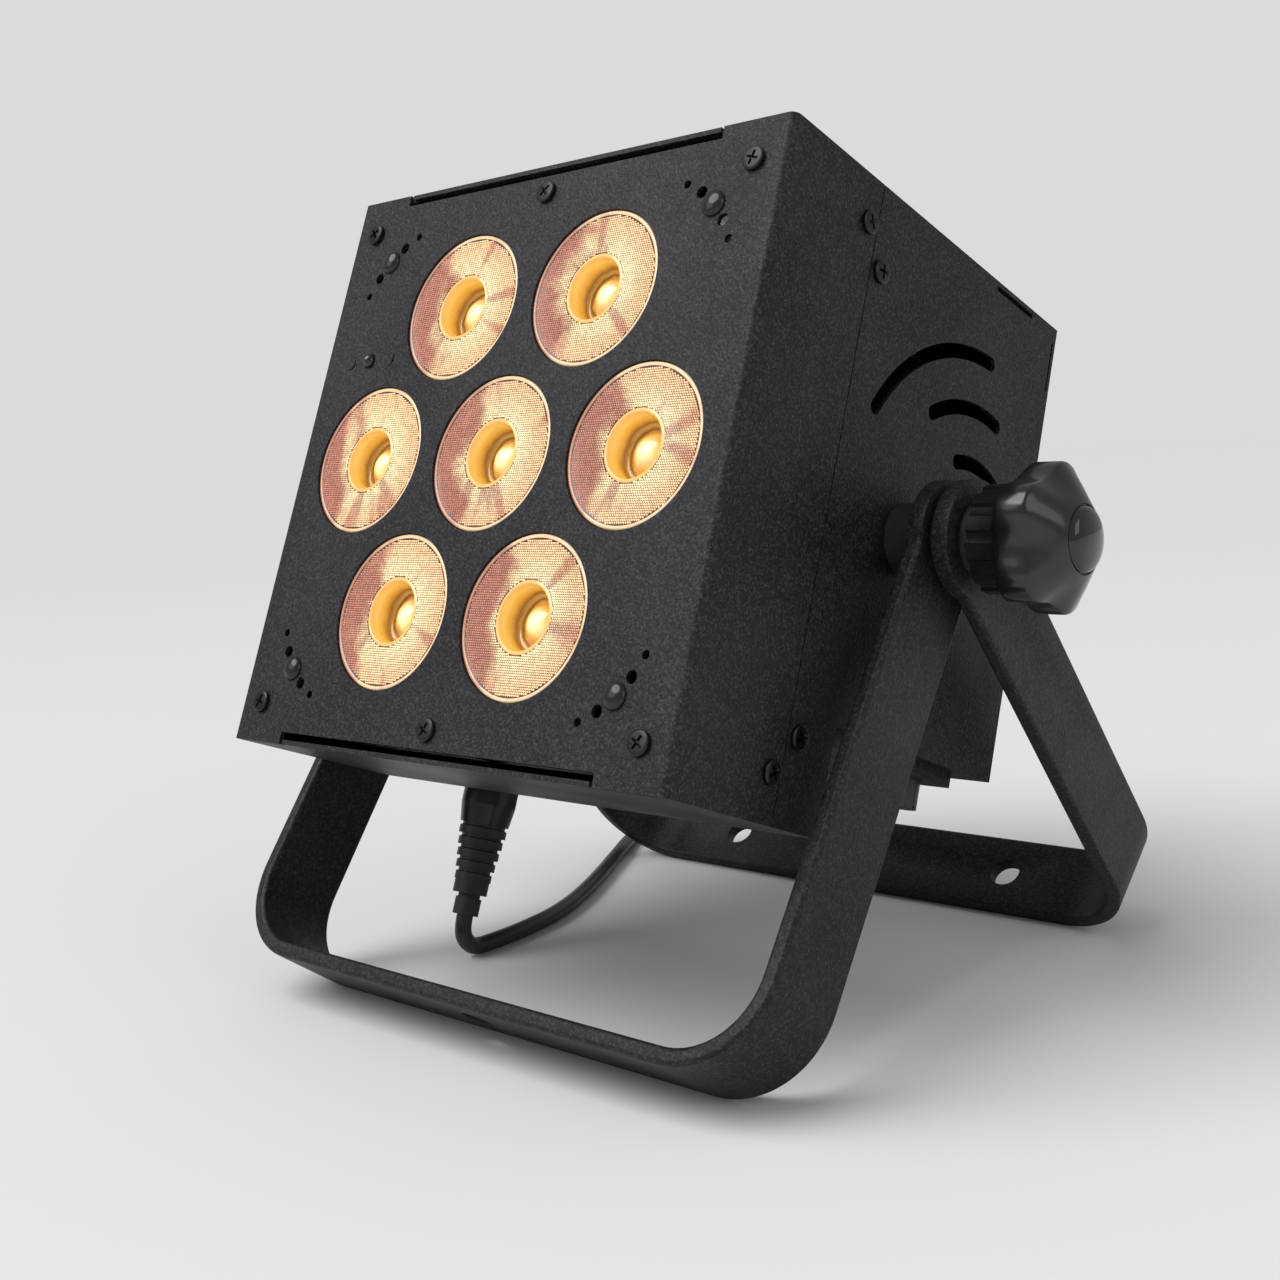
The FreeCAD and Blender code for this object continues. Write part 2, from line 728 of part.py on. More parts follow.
def make_mounting_rails():
    rails = []
    for name, sx in (("left", -1), ("right", 1)):
        outer = "@inner - wall" if sx > 0 else "-@inner"
        web = box(f"rail_{name}_web", outer, "@sinkback", "@low + wall + rail_inset",
                  "wall", "@seam + rail_overlap - @sinkback", "face_height - 2 * wall - 2 * rail_inset")
        inward = "@inner - rail_flange" if sx > 0 else "-@inner"
        flange = box(f"rail_{name}_flange", inward, "@sinkback", "@low + wall + rail_inset",
                     "rail_flange", "wall", "face_height - 2 * wall - 2 * rail_inset")
        holes = [rod(f"rail_{name}_hole_{index}", "X", f"{outer} - cut_over", y, z,
                     "screw_shank + screw_bore_gap", "wall + 2 * cut_over")
                 for index, (y, z) in enumerate(SIDE_SCREWS)]
        rails.append(cut(f"rail_{name}", fuse(f"rail_{name}_angle", web, flange), *holes))
    keep("mounting_rails", group("mounting_rails", *rails))


def make_lens(index, x, z):
    # A collimating lens: rim, cone down to the emitter, and a well with a domed floor in front.
    name = f"lens_{index}"
    body = new_body(name)
    profile = sketch_on(body, "XY_Plane", name + "_profile")
    front, back = "(@front + lens_recess)", "(@front + lens_recess + lens_depth)"
    zero, well = "0 * wall", f"({front} + lens_well_depth)"
    bump_edge = "sqrt(lens_bump_radius ^ 2 - (lens_bump_radius - lens_bump_height) ^ 2)"
    corners = [
        (bump_edge, well), ("lens_well_radius", well), ("lens_well_radius", front), ("lens_radius", front),
        ("lens_radius", f"{front} + lens_rim"), ("lens_radius - lens_step", f"{front} + lens_rim"),
        ("lens_foot_radius", back), ("lens_cup_radius", back), ("lens_cup_radius", f"{back} - lens_cup_depth"),
        (zero, f"{back} - lens_cup_depth"), (zero, f"{well} - lens_bump_height"),
    ]
    add_outline(profile, corners, closed=False)
    lines = len(corners) - 1
    radius, height, edge = number("lens_bump_radius"), number("lens_bump_height"), number(bump_edge)
    top, floor = Vector(0, number(f"{well} - lens_bump_height"), 0), Vector(edge, number(well), 0)
    centre = top + Vector(0, radius, 0)
    halfway = (floor - centre + top - centre).normalize() * radius + centre
    profile.addGeometry(Part.Arc(top, halfway, floor), False)
    profile.addConstraint(Sketcher.Constraint("Coincident", lines, 1, lines - 1, 2))
    profile.addConstraint(Sketcher.Constraint("Coincident", lines, 2, 0, 1))
    profile.addConstraint(Sketcher.Constraint("PointOnObject", lines, 3, -2))
    turned = body.newObject("PartDesign::Revolution", name + "_turned")
    turned.Profile = profile
    turned.ReferenceAxis = (profile, ["V_Axis"])
    turned.Angle = 360
    body.Placement = Placement(Vector(number(x), 0, number(z)), Rotation())
    doc.recompute()
    keep(name, body)


def make_lens_holders():
    # A round sleeve behind each hole of the face, from the face to the light board.
    holders = []
    for index, (x, z) in enumerate(LENSES, start=1):
        depth = "@board - @front - wall"
        sleeve = rod(f"holder_{index}_sleeve", "Y", x, "@front + wall", z, "holder_radius", depth)
        rim_end = "@front + lens_recess + lens_rim"
        mouth = rod(f"holder_{index}_mouth", "Y", x, "@front", z, "lens_radius + holder_gap", "lens_recess + lens_rim")
        hollow = cone(f"holder_{index}_cone", "Y", x, rim_end, z, "lens_radius - lens_step + holder_gap",
                      "lens_foot_radius + 2 * holder_gap", "lens_depth - lens_rim")
        foot = rod(f"holder_{index}_foot", "Y", x, "@board - lens_cup_depth - cut_over", z,
                   "lens_foot_radius + 2 * holder_gap", "lens_cup_depth + 2 * cut_over")
        holders.append(cut(f"holder_{index}", sleeve, mouth, hollow, foot))
    keep("lens_holders", group("lens_holders", *holders))


def make_led_board():
    plate = box("led_plate", "-board_width / 2", "@board", "@middle - @board_height / 2",
                "board_width", "board_thick", "@board_height")
    sockets = [box(f"led_socket_{index}", f"{sx} * (board_width / 2 - emitter_side) - emitter_side / 2",
                   "@board - emitter_side", "@middle + @board_height / 2 - 3 * emitter_side", "emitter_side",
                   "emitter_side", "2 * emitter_side") for index, sx in enumerate((-1, 1))]
    keep("led_board", fuse("led_board", plate, *sockets))
    emitters = []
    for index, (x, z) in enumerate(LENSES, start=1):
        base = box(f"emitter_{index}_base", f"{x} - emitter_side / 2", "@board - emitter_thick",
                   f"{z} - emitter_side / 2", "emitter_side", "emitter_thick", "emitter_side")
        dome = ball(f"emitter_{index}_sphere", x, "@board - emitter_thick", z, "emitter_dome")
        half = box(f"emitter_{index}_half", f"{x} - emitter_side", "@board - emitter_thick / 2", f"{z} - emitter_side",
                   "2 * emitter_side", "emitter_side", "2 * emitter_side")
        emitters.append(fuse(f"emitter_{index}", base, cut(f"emitter_{index}_dome", dome, half)))
    keep("led_emitters", group("led_emitters", *emitters))


def make_heat_sink():
    body = new_body("heat_sink")
    base = sketch_on(body, "XZ_Plane", "sink_outline", "-(@sinkback)")
    add_rectangle(base, "0 * wall", "@middle", "sink_width", "sink_height")
    pad(body, base, "sink_plate", "sink_base")
    fin = sketch_on(body, "XZ_Plane", "fin_outline", "-(@sinkback + fin_depth)")
    add_rectangle(fin, "-(fin_count - 1) * fin_pitch / 2", "@middle", "fin_thick", "fin_height")
    first = pad(body, fin, "first_fin", "fin_depth + sink_base / 2")
    row = body.newObject("PartDesign::LinearPattern", "fin_row")
    row.Originals = [first]
    row.Direction = (fin, ["H_Axis"])
    bind(row, "Length", "(fin_count - 1) * fin_pitch")
    bind(row, "Occurrences", "fin_count")
    body.Tip = row
    doc.recompute()
    keep("heat_sink", body)


def make_cover_posts():
    posts = []
    for index, (x, z) in enumerate(FACE_SCREWS):
        post = rod(f"post_{index}_body", "Y", x, "@front + wall", z, "post_radius", "@sink - @front - wall")
        bore = rod(f"post_{index}_bore", "Y", x, "@front", z, "screw_shank + screw_bore_gap", "screw_length + wall")
        posts.append(cut(f"post_{index}", post, bore))
    keep("cover_posts", group("cover_posts", *posts))


def screw(name, axis, x, y, z, length, backwards):
    # A raised head with a cross recess, seated on the sheet, and its shank.
    sign = -1 if backwards else 1
    middle = {"X": x, "Y": y, "Z": z}

    def along(distance):
        return {**middle, axis: f"{middle[axis]} + {sign} * ({distance})"}
    head = rod(name + "_head", axis, *along("0 * wall").values(), "screw_head", "screw_head_height", backwards)
    crown = ball(name + "_crown", *along("screw_head_height - 2 * screw_head").values(), "2 * screw_head")
    raised = doc.addObject("Part::MultiCommon", name + "_raised")
    raised.Shapes = [head, crown]
    shank = rod(name + "_shank", axis, *middle.values(), "screw_shank", length, not backwards)
    lows = along("screw_head_height - recess_depth / 2")
    slots = []
    for part, long_axis in (("first", 0), ("second", 1)):
        flat_axes = [letter for letter in "XYZ" if letter != axis]
        spans = {axis: "recess_depth"}
        spans[flat_axes[long_axis]] = "recess_length"
        spans[flat_axes[1 - long_axis]] = "recess_width"
        corner = [f"{lows[letter]} - ({spans[letter]}) / 2" for letter in "XYZ"]
        slots.append(box(f"{name}_{part}", *corner, *[spans[letter] for letter in "XYZ"]))
    return cut(name, fuse(name + "_blank", raised, shank), *slots)


def make_screws():
    faces = [screw(f"face_screw_{index}", "Y", x, "@front", z, "screw_length", True)
             for index, (x, z) in enumerate(FACE_SCREWS)]
    keep("face_screws", group("face_screws", *faces))
    others = []
    for index, (y, z) in enumerate(SIDE_SCREWS):
        others.append(screw(f"left_screw_{index}", "X", "-@side", y, z, "side_screw_length", True))
        others.append(screw(f"right_screw_{index}", "X", "@side", y, z, "side_screw_length", False))
    others += [screw(f"fan_screw_{index}", "Y", x, "@rear", z, "screw_length", False)
               for index, (x, z) in enumerate(FAN_SCREWS)]
    keep("case_screws", group("case_screws", *others))


def make_corner_rivets():
    rivets = []
    for index, (x, z, radius) in enumerate(corner_holes()):
        if radius != "corner_large":
            continue
        name = f"rivet_{index}"
        curve = "((rivet_radius ^ 2 + rivet_height ^ 2) / (2 * rivet_height))"
        sphere = ball(name + "_sphere", x, f"@front - rivet_height + {curve}", z, curve)
        slab = rod(name + "_slab", "Y", x, "@front - rivet_height", z, "rivet_radius", "rivet_height")
        dome = doc.addObject("Part::MultiCommon", name + "_dome")
        dome.Shapes = [sphere, slab]
        shank = rod(name + "_shank", "Y", x, "@front", z, "corner_large - seam_gap / 4", "wall + rivet_tail")
        tail = rod(name + "_tail", "Y", x, "@front + wall", z, "rivet_radius", "rivet_tail")
        rivets.append(fuse(name, dome, shank, tail))
    keep("corner_rivets", group("corner_rivets", *rivets))


def make_ir_receiver():
    at = ("-eye_side", "@front + wall", "@middle + eye_height")
    block = box("eye_block", f"{at[0]} - eye_block_width / 2", at[1], f"{at[2]} - eye_block_height / 2",
                "eye_block_width", "eye_block_depth", "eye_block_height")
    barrel = rod("eye_barrel", "Y", at[0], "@front", at[2], "eye_radius", "wall")
    dome = ball("eye_dome", at[0], "@front", at[2], "eye_radius")
    studs = []
    for index, sx in enumerate((-1, 1)):
        x = f"{at[0]} + {sx} * eye_stud_spread"
        studs.append(rod(f"eye_stud_{index}", "Y", x, "@front", at[2], "eye_stud_radius", "wall"))
        studs.append(rod(f"eye_stud_head_{index}", "Y", x, "@front - eye_stud_proud", at[2], "eye_stud_head",
                         "eye_stud_proud"))
    keep("ir_receiver", fuse("ir_receiver", block, barrel, dome, *studs))


def make_fan():
    back = "@rear - wall"
    front = f"{back} - fan_thick"
    frame = box("fan_block", "-fan_side / 2", front, "@fan - fan_side / 2", "fan_side", "fan_thick", "fan_side")
    middle = ("0 * wall", "@fan")
    bore = rod("fan_bore_cut", "Y", middle[0], f"{front} - cut_over", middle[1], "fan_bore", "fan_thick + 2 * cut_over")
    holes = [rod(f"fan_hole_{index}", "Y", x, f"{front} - cut_over", z, "screw_shank + screw_bore_gap",
                 "fan_thick + 2 * cut_over") for index, (x, z) in enumerate(FAN_SCREWS)]
    shell = cut("fan_shell", frame, bore, *holes)
    motor = rod("fan_motor", "Y", middle[0], f"{back} - fan_motor_plate", middle[1], "fan_hub", "fan_motor_plate")
    across = box("fan_across", "-fan_bore - cut_over", f"{back} - fan_motor_plate", "@fan - fan_strut / 2",
                 "2 * fan_bore + 2 * cut_over", "fan_motor_plate", "fan_strut")
    upright = box("fan_upright", "-fan_strut / 2", f"{back} - fan_motor_plate", "@fan - fan_bore - cut_over",
                  "fan_strut", "fan_motor_plate", "2 * fan_bore + 2 * cut_over")
    bearing = rod("fan_bearing", "Y", middle[0], f"{back} - fan_motor_plate - cut_over", middle[1],
                  "fan_pin + rub_gap", "fan_motor_plate + 2 * cut_over")
    keep("fan_frame", cut("fan_frame", fuse("fan_body", shell, motor, across, upright), bearing))

    hub_length = number("fan_thick - fan_motor_plate - 2 * fan_gap")
    start = Vector(0, number(f"{front} + fan_gap"), number("@fan"))
    along = Vector(0, 1, 0)
    rotor = Part.makeCylinder(number("fan_hub"), hub_length, start, along)
    pin_start = start + along * (hub_length / 2)
    rotor = rotor.fuse(Part.makeCylinder(number("fan_pin"), hub_length / 2 + number("fan_motor_plate"), pin_start, along))
    count = int(number("fan_blades"))
    chord, thick = number("fan_blade_chord"), number("fan_blade_thick")
    root, reach = number("fan_hub - fan_blade_thick"), number("fan_blade_reach")
    for index in range(count):
        blade = Part.makeBox(reach - root, chord, thick, Vector(root, -chord / 2, -thick / 2))
        blade.rotate(Vector(), Vector(1, 0, 0), number("fan_blade_angle"))
        blade.rotate(Vector(), along, 360 * index / count)
        blade.translate(start + along * (hub_length / 2))
        rotor = rotor.fuse(blade)
    rim = Part.makeCylinder(reach, hub_length, start, along)
    rotor = rotor.common(rim.fuse(Part.makeCylinder(root, 2 * hub_length, start, along)))
    keep("fan_rotor", solid("fan_rotor", rotor))


def make_driver_board():
    top = "@top - wall - driver_hang"
    left, front = "-driver_width / 2", "@rear - driver_back - driver_length"
    plate = box("driver_plate", left, front, f"{top} - board_thick", "driver_width", "driver_length", "board_thick")
    under = f"{top} - board_thick"
    pieces = [box("driver_chip_side", "-chip_side / 2", f"{front} + chip_side", f"{under} - chip_height",
                  "chip_side", "chip_side", "chip_height")]
    for index, sx in enumerate((-1, 0, 1)):
        pieces.append(rod(f"driver_coil_{index}", "Z", f"{sx} * driver_width / 4", f"{front} + driver_length * 3 / 4",
                          under, "coil_radius", "coil_height", True))
    keep("driver_board", fuse("driver_board", plate, *pieces))
    posts = []
    for sx in (-1, 1):
        for sy in (-1, 1):
            x = f"{sx} * (driver_width / 2 - standoff_inset)"
            y = f"{front} + driver_length / 2 + {sy} * (driver_length / 2 - standoff_inset)"
            posts.append(rod(f"standoff_{len(posts)}", "Z", x, y, top, "standoff_radius", "driver_hang"))
    keep("board_standoffs", group("board_standoffs", *posts))


def make_power_supply():
    low = "@ceiling + wall"
    front = "@rear - wall - @supply_depth"
    case = box("supply_case", "-supply_width / 2", front, low, "supply_width", "@supply_depth", "supply_height")
    ledge = box("supply_ledge", "-supply_width / 2 - cut_over", f"{front} - cut_over",
                f"{low} + supply_height - supply_terminal", "supply_width + 2 * cut_over",
                "supply_terminal + cut_over", "supply_terminal + cut_over")
    blocks = [box(f"supply_terminal_{index}", f"{sx} * supply_width / 4 - supply_terminal", front,
                  f"{low} + supply_height - supply_terminal", "2 * supply_terminal", "supply_terminal - wall",
                  "supply_terminal / 2") for index, sx in enumerate((-1, 1))]
    keep("power_supply", fuse("power_supply", cut("supply_shell", case, ledge), *blocks))


def make_display():
    inner = "@rear - wall"
    board_back = f"{inner} - display_gap"
    low = "@panel - display_board_height / 2"
    plate = box("display_plate", "-display_board_width / 2", f"{board_back} - board_thick", low,
                "display_board_width", "board_thick", "display_board_height")
    module = box("display_module", "-window_side - window_width / 2 - window_lip", board_back,
                 "@panel - window_height / 2 - window_lip", "window_width + 2 * window_lip",
                 "display_gap - window_lip", "window_height + 2 * window_lip")
    switches = [box(f"key_switch_{index}", f"{key_side(index)} - key_switch_side / 2", board_back,
                    "@panel - key_switch_side / 2", "key_switch_side",
                    "display_gap - key_flange_thick - key_gap - key_travel - slot_gap", "key_switch_side")
                for index in range(4)]
    posts = []
    for sx in (-1, 1):
        for sz in (-1, 1):
            x = f"{sx} * (display_board_width / 2 - standoff_radius)"
            z = f"@panel + {sz} * (display_board_height / 2 - standoff_radius)"
            posts.append(rod(f"display_post_{len(posts)}", "Y", x, board_back, z, "standoff_radius", "display_gap"))
    keep("display_board", fuse("display_board", plate, module, *switches, *posts))

    pane = box("window_pane", "-window_side - window_width / 2 + slot_gap", inner,
               "@panel - window_height / 2 + slot_gap", "window_width - 2 * slot_gap", "wall + window_proud",
               "window_height - 2 * slot_gap")
    lip = box("window_flange", "-window_side - window_width / 2 - window_lip", f"{inner} - window_lip",
              "@panel - window_height / 2 - window_lip", "window_width + 2 * window_lip", "window_lip",
              "window_height + 2 * window_lip")
    keep("display_window", fuse("display_window", pane, lip))

    for index, name in enumerate(("menu", "down", "up", "enter")):
        at = (key_side(index), "@panel")
        flange = rod(f"key_{name}_flange", "Y", at[0], f"{inner} - key_gap - key_flange_thick", at[1], "key_flange",
                     "key_flange_thick")
        stem = rod(f"key_{name}_stem", "Y", at[0], f"{inner} - key_gap - key_flange_thick", at[1], "key_radius",
                   "key_gap + key_flange_thick + wall + key_proud")
        keep("key_" + name, fuse("key_" + name, flange, stem))


def signal_socket(name, x):
    # Square flange under the pan, round body above it, open cup below.
    y = "signal_depth - pivot_depth"
    flange = box(name + "_flange", f"{x} - flange_width / 2", f"{y} - flange_length / 2", "@pan - flange_thick",
                 "flange_width", "flange_length", "flange_thick")
    body = rod(name + "_body", "Z", x, y, "@pan - flange_thick", "socket_radius", "socket_rise + flange_thick")
    cup = rod(name + "_cup", "Z", x, y, "@pan - flange_thick - cut_over", "cup_radius", "cup_depth + cut_over")
    return cut(name + "_shell", fuse(name + "_blank", flange, body), cup)


def pin_places(x, y):
    for angle in (210, 330, 90):
        yield (f"{x} + pin_circle * cos({angle} deg)", f"{y} + pin_circle * sin({angle} deg)")


def make_signal_sockets():
    y = "signal_depth - pivot_depth"
    floor = "@pan - flange_thick + cup_depth"
    pins = [rod(f"signal_pin_{index}", "Z", px, py, f"{floor} - pin_length", "pin_radius", "pin_length + cut_over")
            for index, (px, py) in enumerate(pin_places("-signal_in_side", y))]
    keep("dmx_in_socket", fuse("dmx_in_socket", signal_socket("signal_in", "-signal_in_side"), *pins))

    x = "-signal_out_side"
    insert = rod("signal_out_insert", "Z", x, y, "@pan - flange_thick + insert_recess", "insert_face",
                 "cup_depth - insert_recess + cut_over")
    holes = [rod(f"signal_out_hole_{index}", "Z", px, py, "@pan - flange_thick", "pin_radius + slot_gap", "cup_depth")
             for index, (px, py) in enumerate(pin_places(x, y))]
    socket = fuse("signal_out_whole", signal_socket("signal_out", x), cut("signal_out_core", insert, *holes))
    slot_y = f"{y} + cup_radius + latch_gap"
    slot = box("latch_slot", f"{x} - latch_width / 2 - latch_gap", slot_y, "@pan - flange_thick - cut_over",
               "latch_width + 2 * latch_gap", "latch_length + latch_gap", "flange_thick + pan_drop + cut_over")
    keep("dmx_out_socket", cut("dmx_out_socket", socket, slot))
    tab = box("latch_tab", f"{x} - latch_width / 2", f"{slot_y} + latch_gap / 2", "@pan - flange_thick - latch_proud",
              "latch_width", "latch_length", "latch_proud + flange_thick - latch_gap")
    tongue_bar = box("latch_bar", f"{x} - latch_width / 4", f"{slot_y} + latch_gap / 2", "@pan - flange_thick",
                     "latch_width / 2", "latch_length", "flange_thick + wall")
    keep("dmx_out_latch", fuse("dmx_out_latch", tab, tongue_bar))


def make_power_inlet():
    x, y = "power_side", "signal_depth - pivot_depth"
    flange = box("power_flange", f"{x} - power_flange_width / 2", f"{y} - power_flange_length / 2",
                 "@pan - flange_thick", "power_flange_width", "power_flange_length", "flange_thick")
    body = box("power_body", f"{x} - power_body_width / 2", f"{y} - power_body_length / 2", "@pan - flange_thick",
               "power_body_width", "power_body_length", "power_rise + flange_thick")
    recess = box("power_recess", f"{x} - power_recess_width / 2", f"{y} - power_recess_length / 2",
                 "@pan - flange_thick - cut_over", "power_recess_width", "power_recess_length",
                 "power_recess_depth + cut_over")
    floor = "@pan - flange_thick + power_recess_depth"
    places = ((f"{x} - blade_spread", f"{y} - blade_thick"), (f"{x} + blade_spread", f"{y} - blade_thick"),
              (x, f"{y} + blade_thick"))
    blades = [box(f"power_blade_{index}", f"{bx} - blade_thick / 2", f"{by} - blade_width / 2",
                  f"{floor} - blade_length", "blade_thick", "blade_width", "blade_length + cut_over")
              for index, (bx, by) in enumerate(places)]
    keep("power_inlet", fuse("power_inlet", cut("power_shell", fuse("power_blank", flange, body), recess), *blades))


def make_fuse_holder():
    at = ("fuse_side", "@fuse_depth - pivot_depth")
    cap = rod("fuse_cap", "Z", *at, "@pan - fuse_cap_height", "fuse_cap", "fuse_cap_height")
    body = rod("fuse_barrel", "Z", *at, "@pan", "fuse_body", "fuse_rise")
    slot = box("fuse_slot", f"{at[0]} - fuse_cap", f"{at[1]} - recess_width / 2",
               "@pan - fuse_cap_height - cut_over", "2 * fuse_cap", "recess_width", "recess_depth + cut_over")
    keep("fuse_holder", cut("fuse_holder", fuse("fuse_blank", cap, body), slot))


def make_pivots():
    inserts, spacers, washers = [], [], []
    for name, sign in (("left", -1), ("right", 1)):
        back = sign > 0
        start = {1: "@side", -1: "-@side"}[sign]
        sleeve = rod(f"insert_{name}_sleeve", "X", start, "0 * wall", "0 * wall", "insert_radius", "insert_length", back)
        flange_at = {1: "@inner", -1: "-@inner"}[sign]
        flange = rod(f"insert_{name}_flange", "X", flange_at, "0 * wall", "0 * wall", "insert_flange",
                     "insert_flange_thick", back)
        bore_at = {1: "@side + cut_over", -1: "-@side - cut_over"}[sign]
        bore = rod(f"insert_{name}_bore", "X", bore_at, "0 * wall", "0 * wall", "stud_radius + stud_gap",
                   "insert_length + 2 * cut_over", back)
        inserts.append(cut(f"insert_{name}", fuse(f"insert_{name}_blank", sleeve, flange), bore))
        for kind, at, radius, length, store in (
                ("spacer", "@side", "spacer_radius", "spacer_length - rub_gap", spacers),
                ("washer", "@front_strap + strap_thick", "washer_radius", "washer_thick - rub_gap", washers)):
            x = at if sign > 0 else f"-({at})"
            ring = rod(f"{kind}_{name}_ring", "X", x, "0 * wall", "0 * wall", radius, length, not back)
            hole_x = f"{at} - cut_over" if sign > 0 else f"-({at} - cut_over)"
            hole = rod(f"{kind}_{name}_hole", "X", hole_x, "0 * wall", "0 * wall", "stud_radius + stud_gap",
                       f"{length} + 2 * cut_over", not back)
            store.append(cut(f"{kind}_{name}", ring, hole))
    keep("pivot_inserts", group("pivot_inserts", *inserts))
    keep("pivot_spacers", group("pivot_spacers", *spacers))
    keep("strap_washers", group("strap_washers", *washers), "front_yoke")


def make_yoke(name, inner, drop, holes):
    # A strap bent into a wide U, hanging straight down from the pivot, with round eyes at its ends.
    body = new_body(name)
    outline = sketch_on(body, "XZ_Plane", name + "_outline")
    outer = f"({inner} + strap_thick)"
    zero, low, high = "0 * wall", f"-{drop}", f"(strap_thick - {drop})"
    add_outline(outline, [(f"-{outer}", zero), (f"-{outer}", low), (outer, low), (outer, zero),
                          (inner, zero), (inner, high), (f"-{inner}", high), (f"-{inner}", zero)])
    strap = pad(body, outline, name + "_strap", "strap_width", middle=True)

    def runs_across(edge, depth):
        a, b = edge.Vertexes[0].Point, edge.Vertexes[-1].Point
        return abs(a.z - b.z) < 1e-6 and abs(a.x - b.x) < 1e-6 and abs(a.z + depth) < 1e-6
    corners = edges_where(strap.Shape, lambda edge: runs_across(edge, number(drop)))
    bent = round_edges(body, strap, name + "_bend", corners, "strap_bend")
    inside = edges_where(bent.Shape, lambda edge: runs_across(edge, number(f"{drop} - strap_thick")))
    formed = round_edges(body, bent, name + "_inner_bend", inside, "strap_bend - strap_thick")

    def lengthwise(edge):
        points = [vertex.Point for vertex in edge.Vertexes]
        level = min(abs(point.z) for point in points) < 1e-6 and max(abs(point.z) for point in points) < 1e-6
        return abs(points[0].y - points[-1].y) < 1e-6 and not level
    rims = edges_where(formed.Shape, lengthwise)
    round_edges(body, formed, name + "_edges", rims, "strap_round")
    for label, at in (("left", f"-{outer}"), ("right", inner)):
        eye = sketch_on(body, "YZ_Plane", f"{name}_{label}_eye_outline", at)
        add_circle(eye, zero, zero, "strap_eye")
        pad(body, eye, f"{name}_{label}_eye", "strap_thick")
    bore = sketch_on(body, "YZ_Plane", name + "_bore_outline")
    add_circle(bore, zero, zero, "stud_radius + stud_gap")
    pierce(body, bore, name + "_bore")
    hanging = sketch_on(body, "XY_Plane", name + "_hole_outline")
    for x in holes:
        add_circle(hanging, x, zero, "hang_hole")
    pierce(body, hanging, name + "_holes")
    keep(name, body, name)


def lobed_outline(count, outer, valley, phase, x):
    # Lobes and valleys as arcs through three points each, in a plane across the pivot axis.
    step = math.pi / count
    middle = (outer + valley) / 2

    def at(radius, angle):
        return Vector(x, radius * math.cos(angle), radius * math.sin(angle))
    edges = []
    for index in range(2 * count):
        angle = math.radians(phase) + index * step
        radius = outer if index % 2 == 0 else valley
        edges.append(Part.Arc(at(middle, angle - step / 2), at(radius, angle), at(middle, angle + step / 2)).toShape())
    return Part.Wire(edges)


def make_knob(name, sign):
    # Fluted hub against the washer, lobed head with a conical front outside it, both turned to one profile.
    start = number("@knob + rub_gap")
    hub, head = number("hub_radius"), number("head_radius")
    hub_end = start + number("hub_length")
    head_end = hub_end + number("head_length")
    chamfer, lip = number("head_chamfer"), number("cap_radius + head_lip")
    profile = [(start, 0), (start, hub), (hub_end, hub), (hub_end + chamfer, head),
               (head_end - number("head_cone"), head), (head_end, lip), (head_end, 0)]
    points = [Vector(x, radius, 0) for x, radius in profile]
    lathe = Part.Face(Part.makePolygon(points + points[:1])).revolve(Vector(), Vector(1, 0, 0), 360)
    lobes = Part.Face(lobed_outline(int(number("head_lobes")), head, number("head_valley"), number("head_phase"),
                                    hub_end - chamfer))
    blank = lobes.extrude(Vector(head_end - hub_end + 2 * chamfer, 0, 0))
    core = Part.makeCylinder(hub, hub_end - start, Vector(start, 0, 0), Vector(1, 0, 0))
    knob = lathe.common(blank.fuse(core))
    ribs = int(number("hub_ribs"))
    reach = hub + number("flute_radius") / 2
    for index in range(ribs):
        angle = 2 * math.pi * (index + 0.5) / ribs
        at = Vector(start - chamfer, reach * math.cos(angle), reach * math.sin(angle))
        knob = knob.cut(Part.makeCylinder(number("flute_radius"), hub_end - start + chamfer, at, Vector(1, 0, 0)))
    stud = number("stud_radius")
    knob = knob.cut(Part.makeCylinder(stud, number("stud_in_knob + rub_gap"), Vector(start, 0, 0), Vector(1, 0, 0)))
    cap_radius, seat = number("cap_radius"), number("cap_seat")
    knob = knob.cut(Part.makeCylinder(cap_radius, seat, Vector(head_end - seat, 0, 0), Vector(1, 0, 0)))

    height = number("cap_height")
    curve = (cap_radius ** 2 + height ** 2) / (2 * height)
    dome = Part.makeSphere(curve, Vector(head_end + height - curve, 0, 0))
    dome = dome.common(Part.makeCylinder(cap_radius, height, Vector(head_end, 0, 0), Vector(1, 0, 0)))
    cap = dome.fuse(Part.makeCylinder(cap_radius, seat, Vector(head_end - seat, 0, 0), Vector(1, 0, 0)))

    tip = number("@side - stud_engage")
    shaft = Part.makeCylinder(stud, start + number("stud_in_knob") - tip, Vector(tip, 0, 0), Vector(1, 0, 0))

    washer_start = number("@knob_washer + rub_gap")
    ring = Part.makeCylinder(number("knob_washer_radius"), number("knob_washer_thick - rub_gap"),
                             Vector(washer_start, 0, 0), Vector(1, 0, 0))
    bore = Part.makeCylinder(stud + number("stud_gap"), number("knob_washer_thick") + chamfer,
                             Vector(washer_start - chamfer / 2, 0, 0), Vector(1, 0, 0))
    pieces = {"knob": knob, "knob_cap": cap, "knob_stud": shaft, "knob_washer": ring.cut(bore)}
    for kind, shape in pieces.items():
        if sign < 0:
            shape = shape.mirror(Vector(), Vector(1, 0, 0))
        keep(f"{kind}_{name}", solid(f"{kind}_{name}", shape))


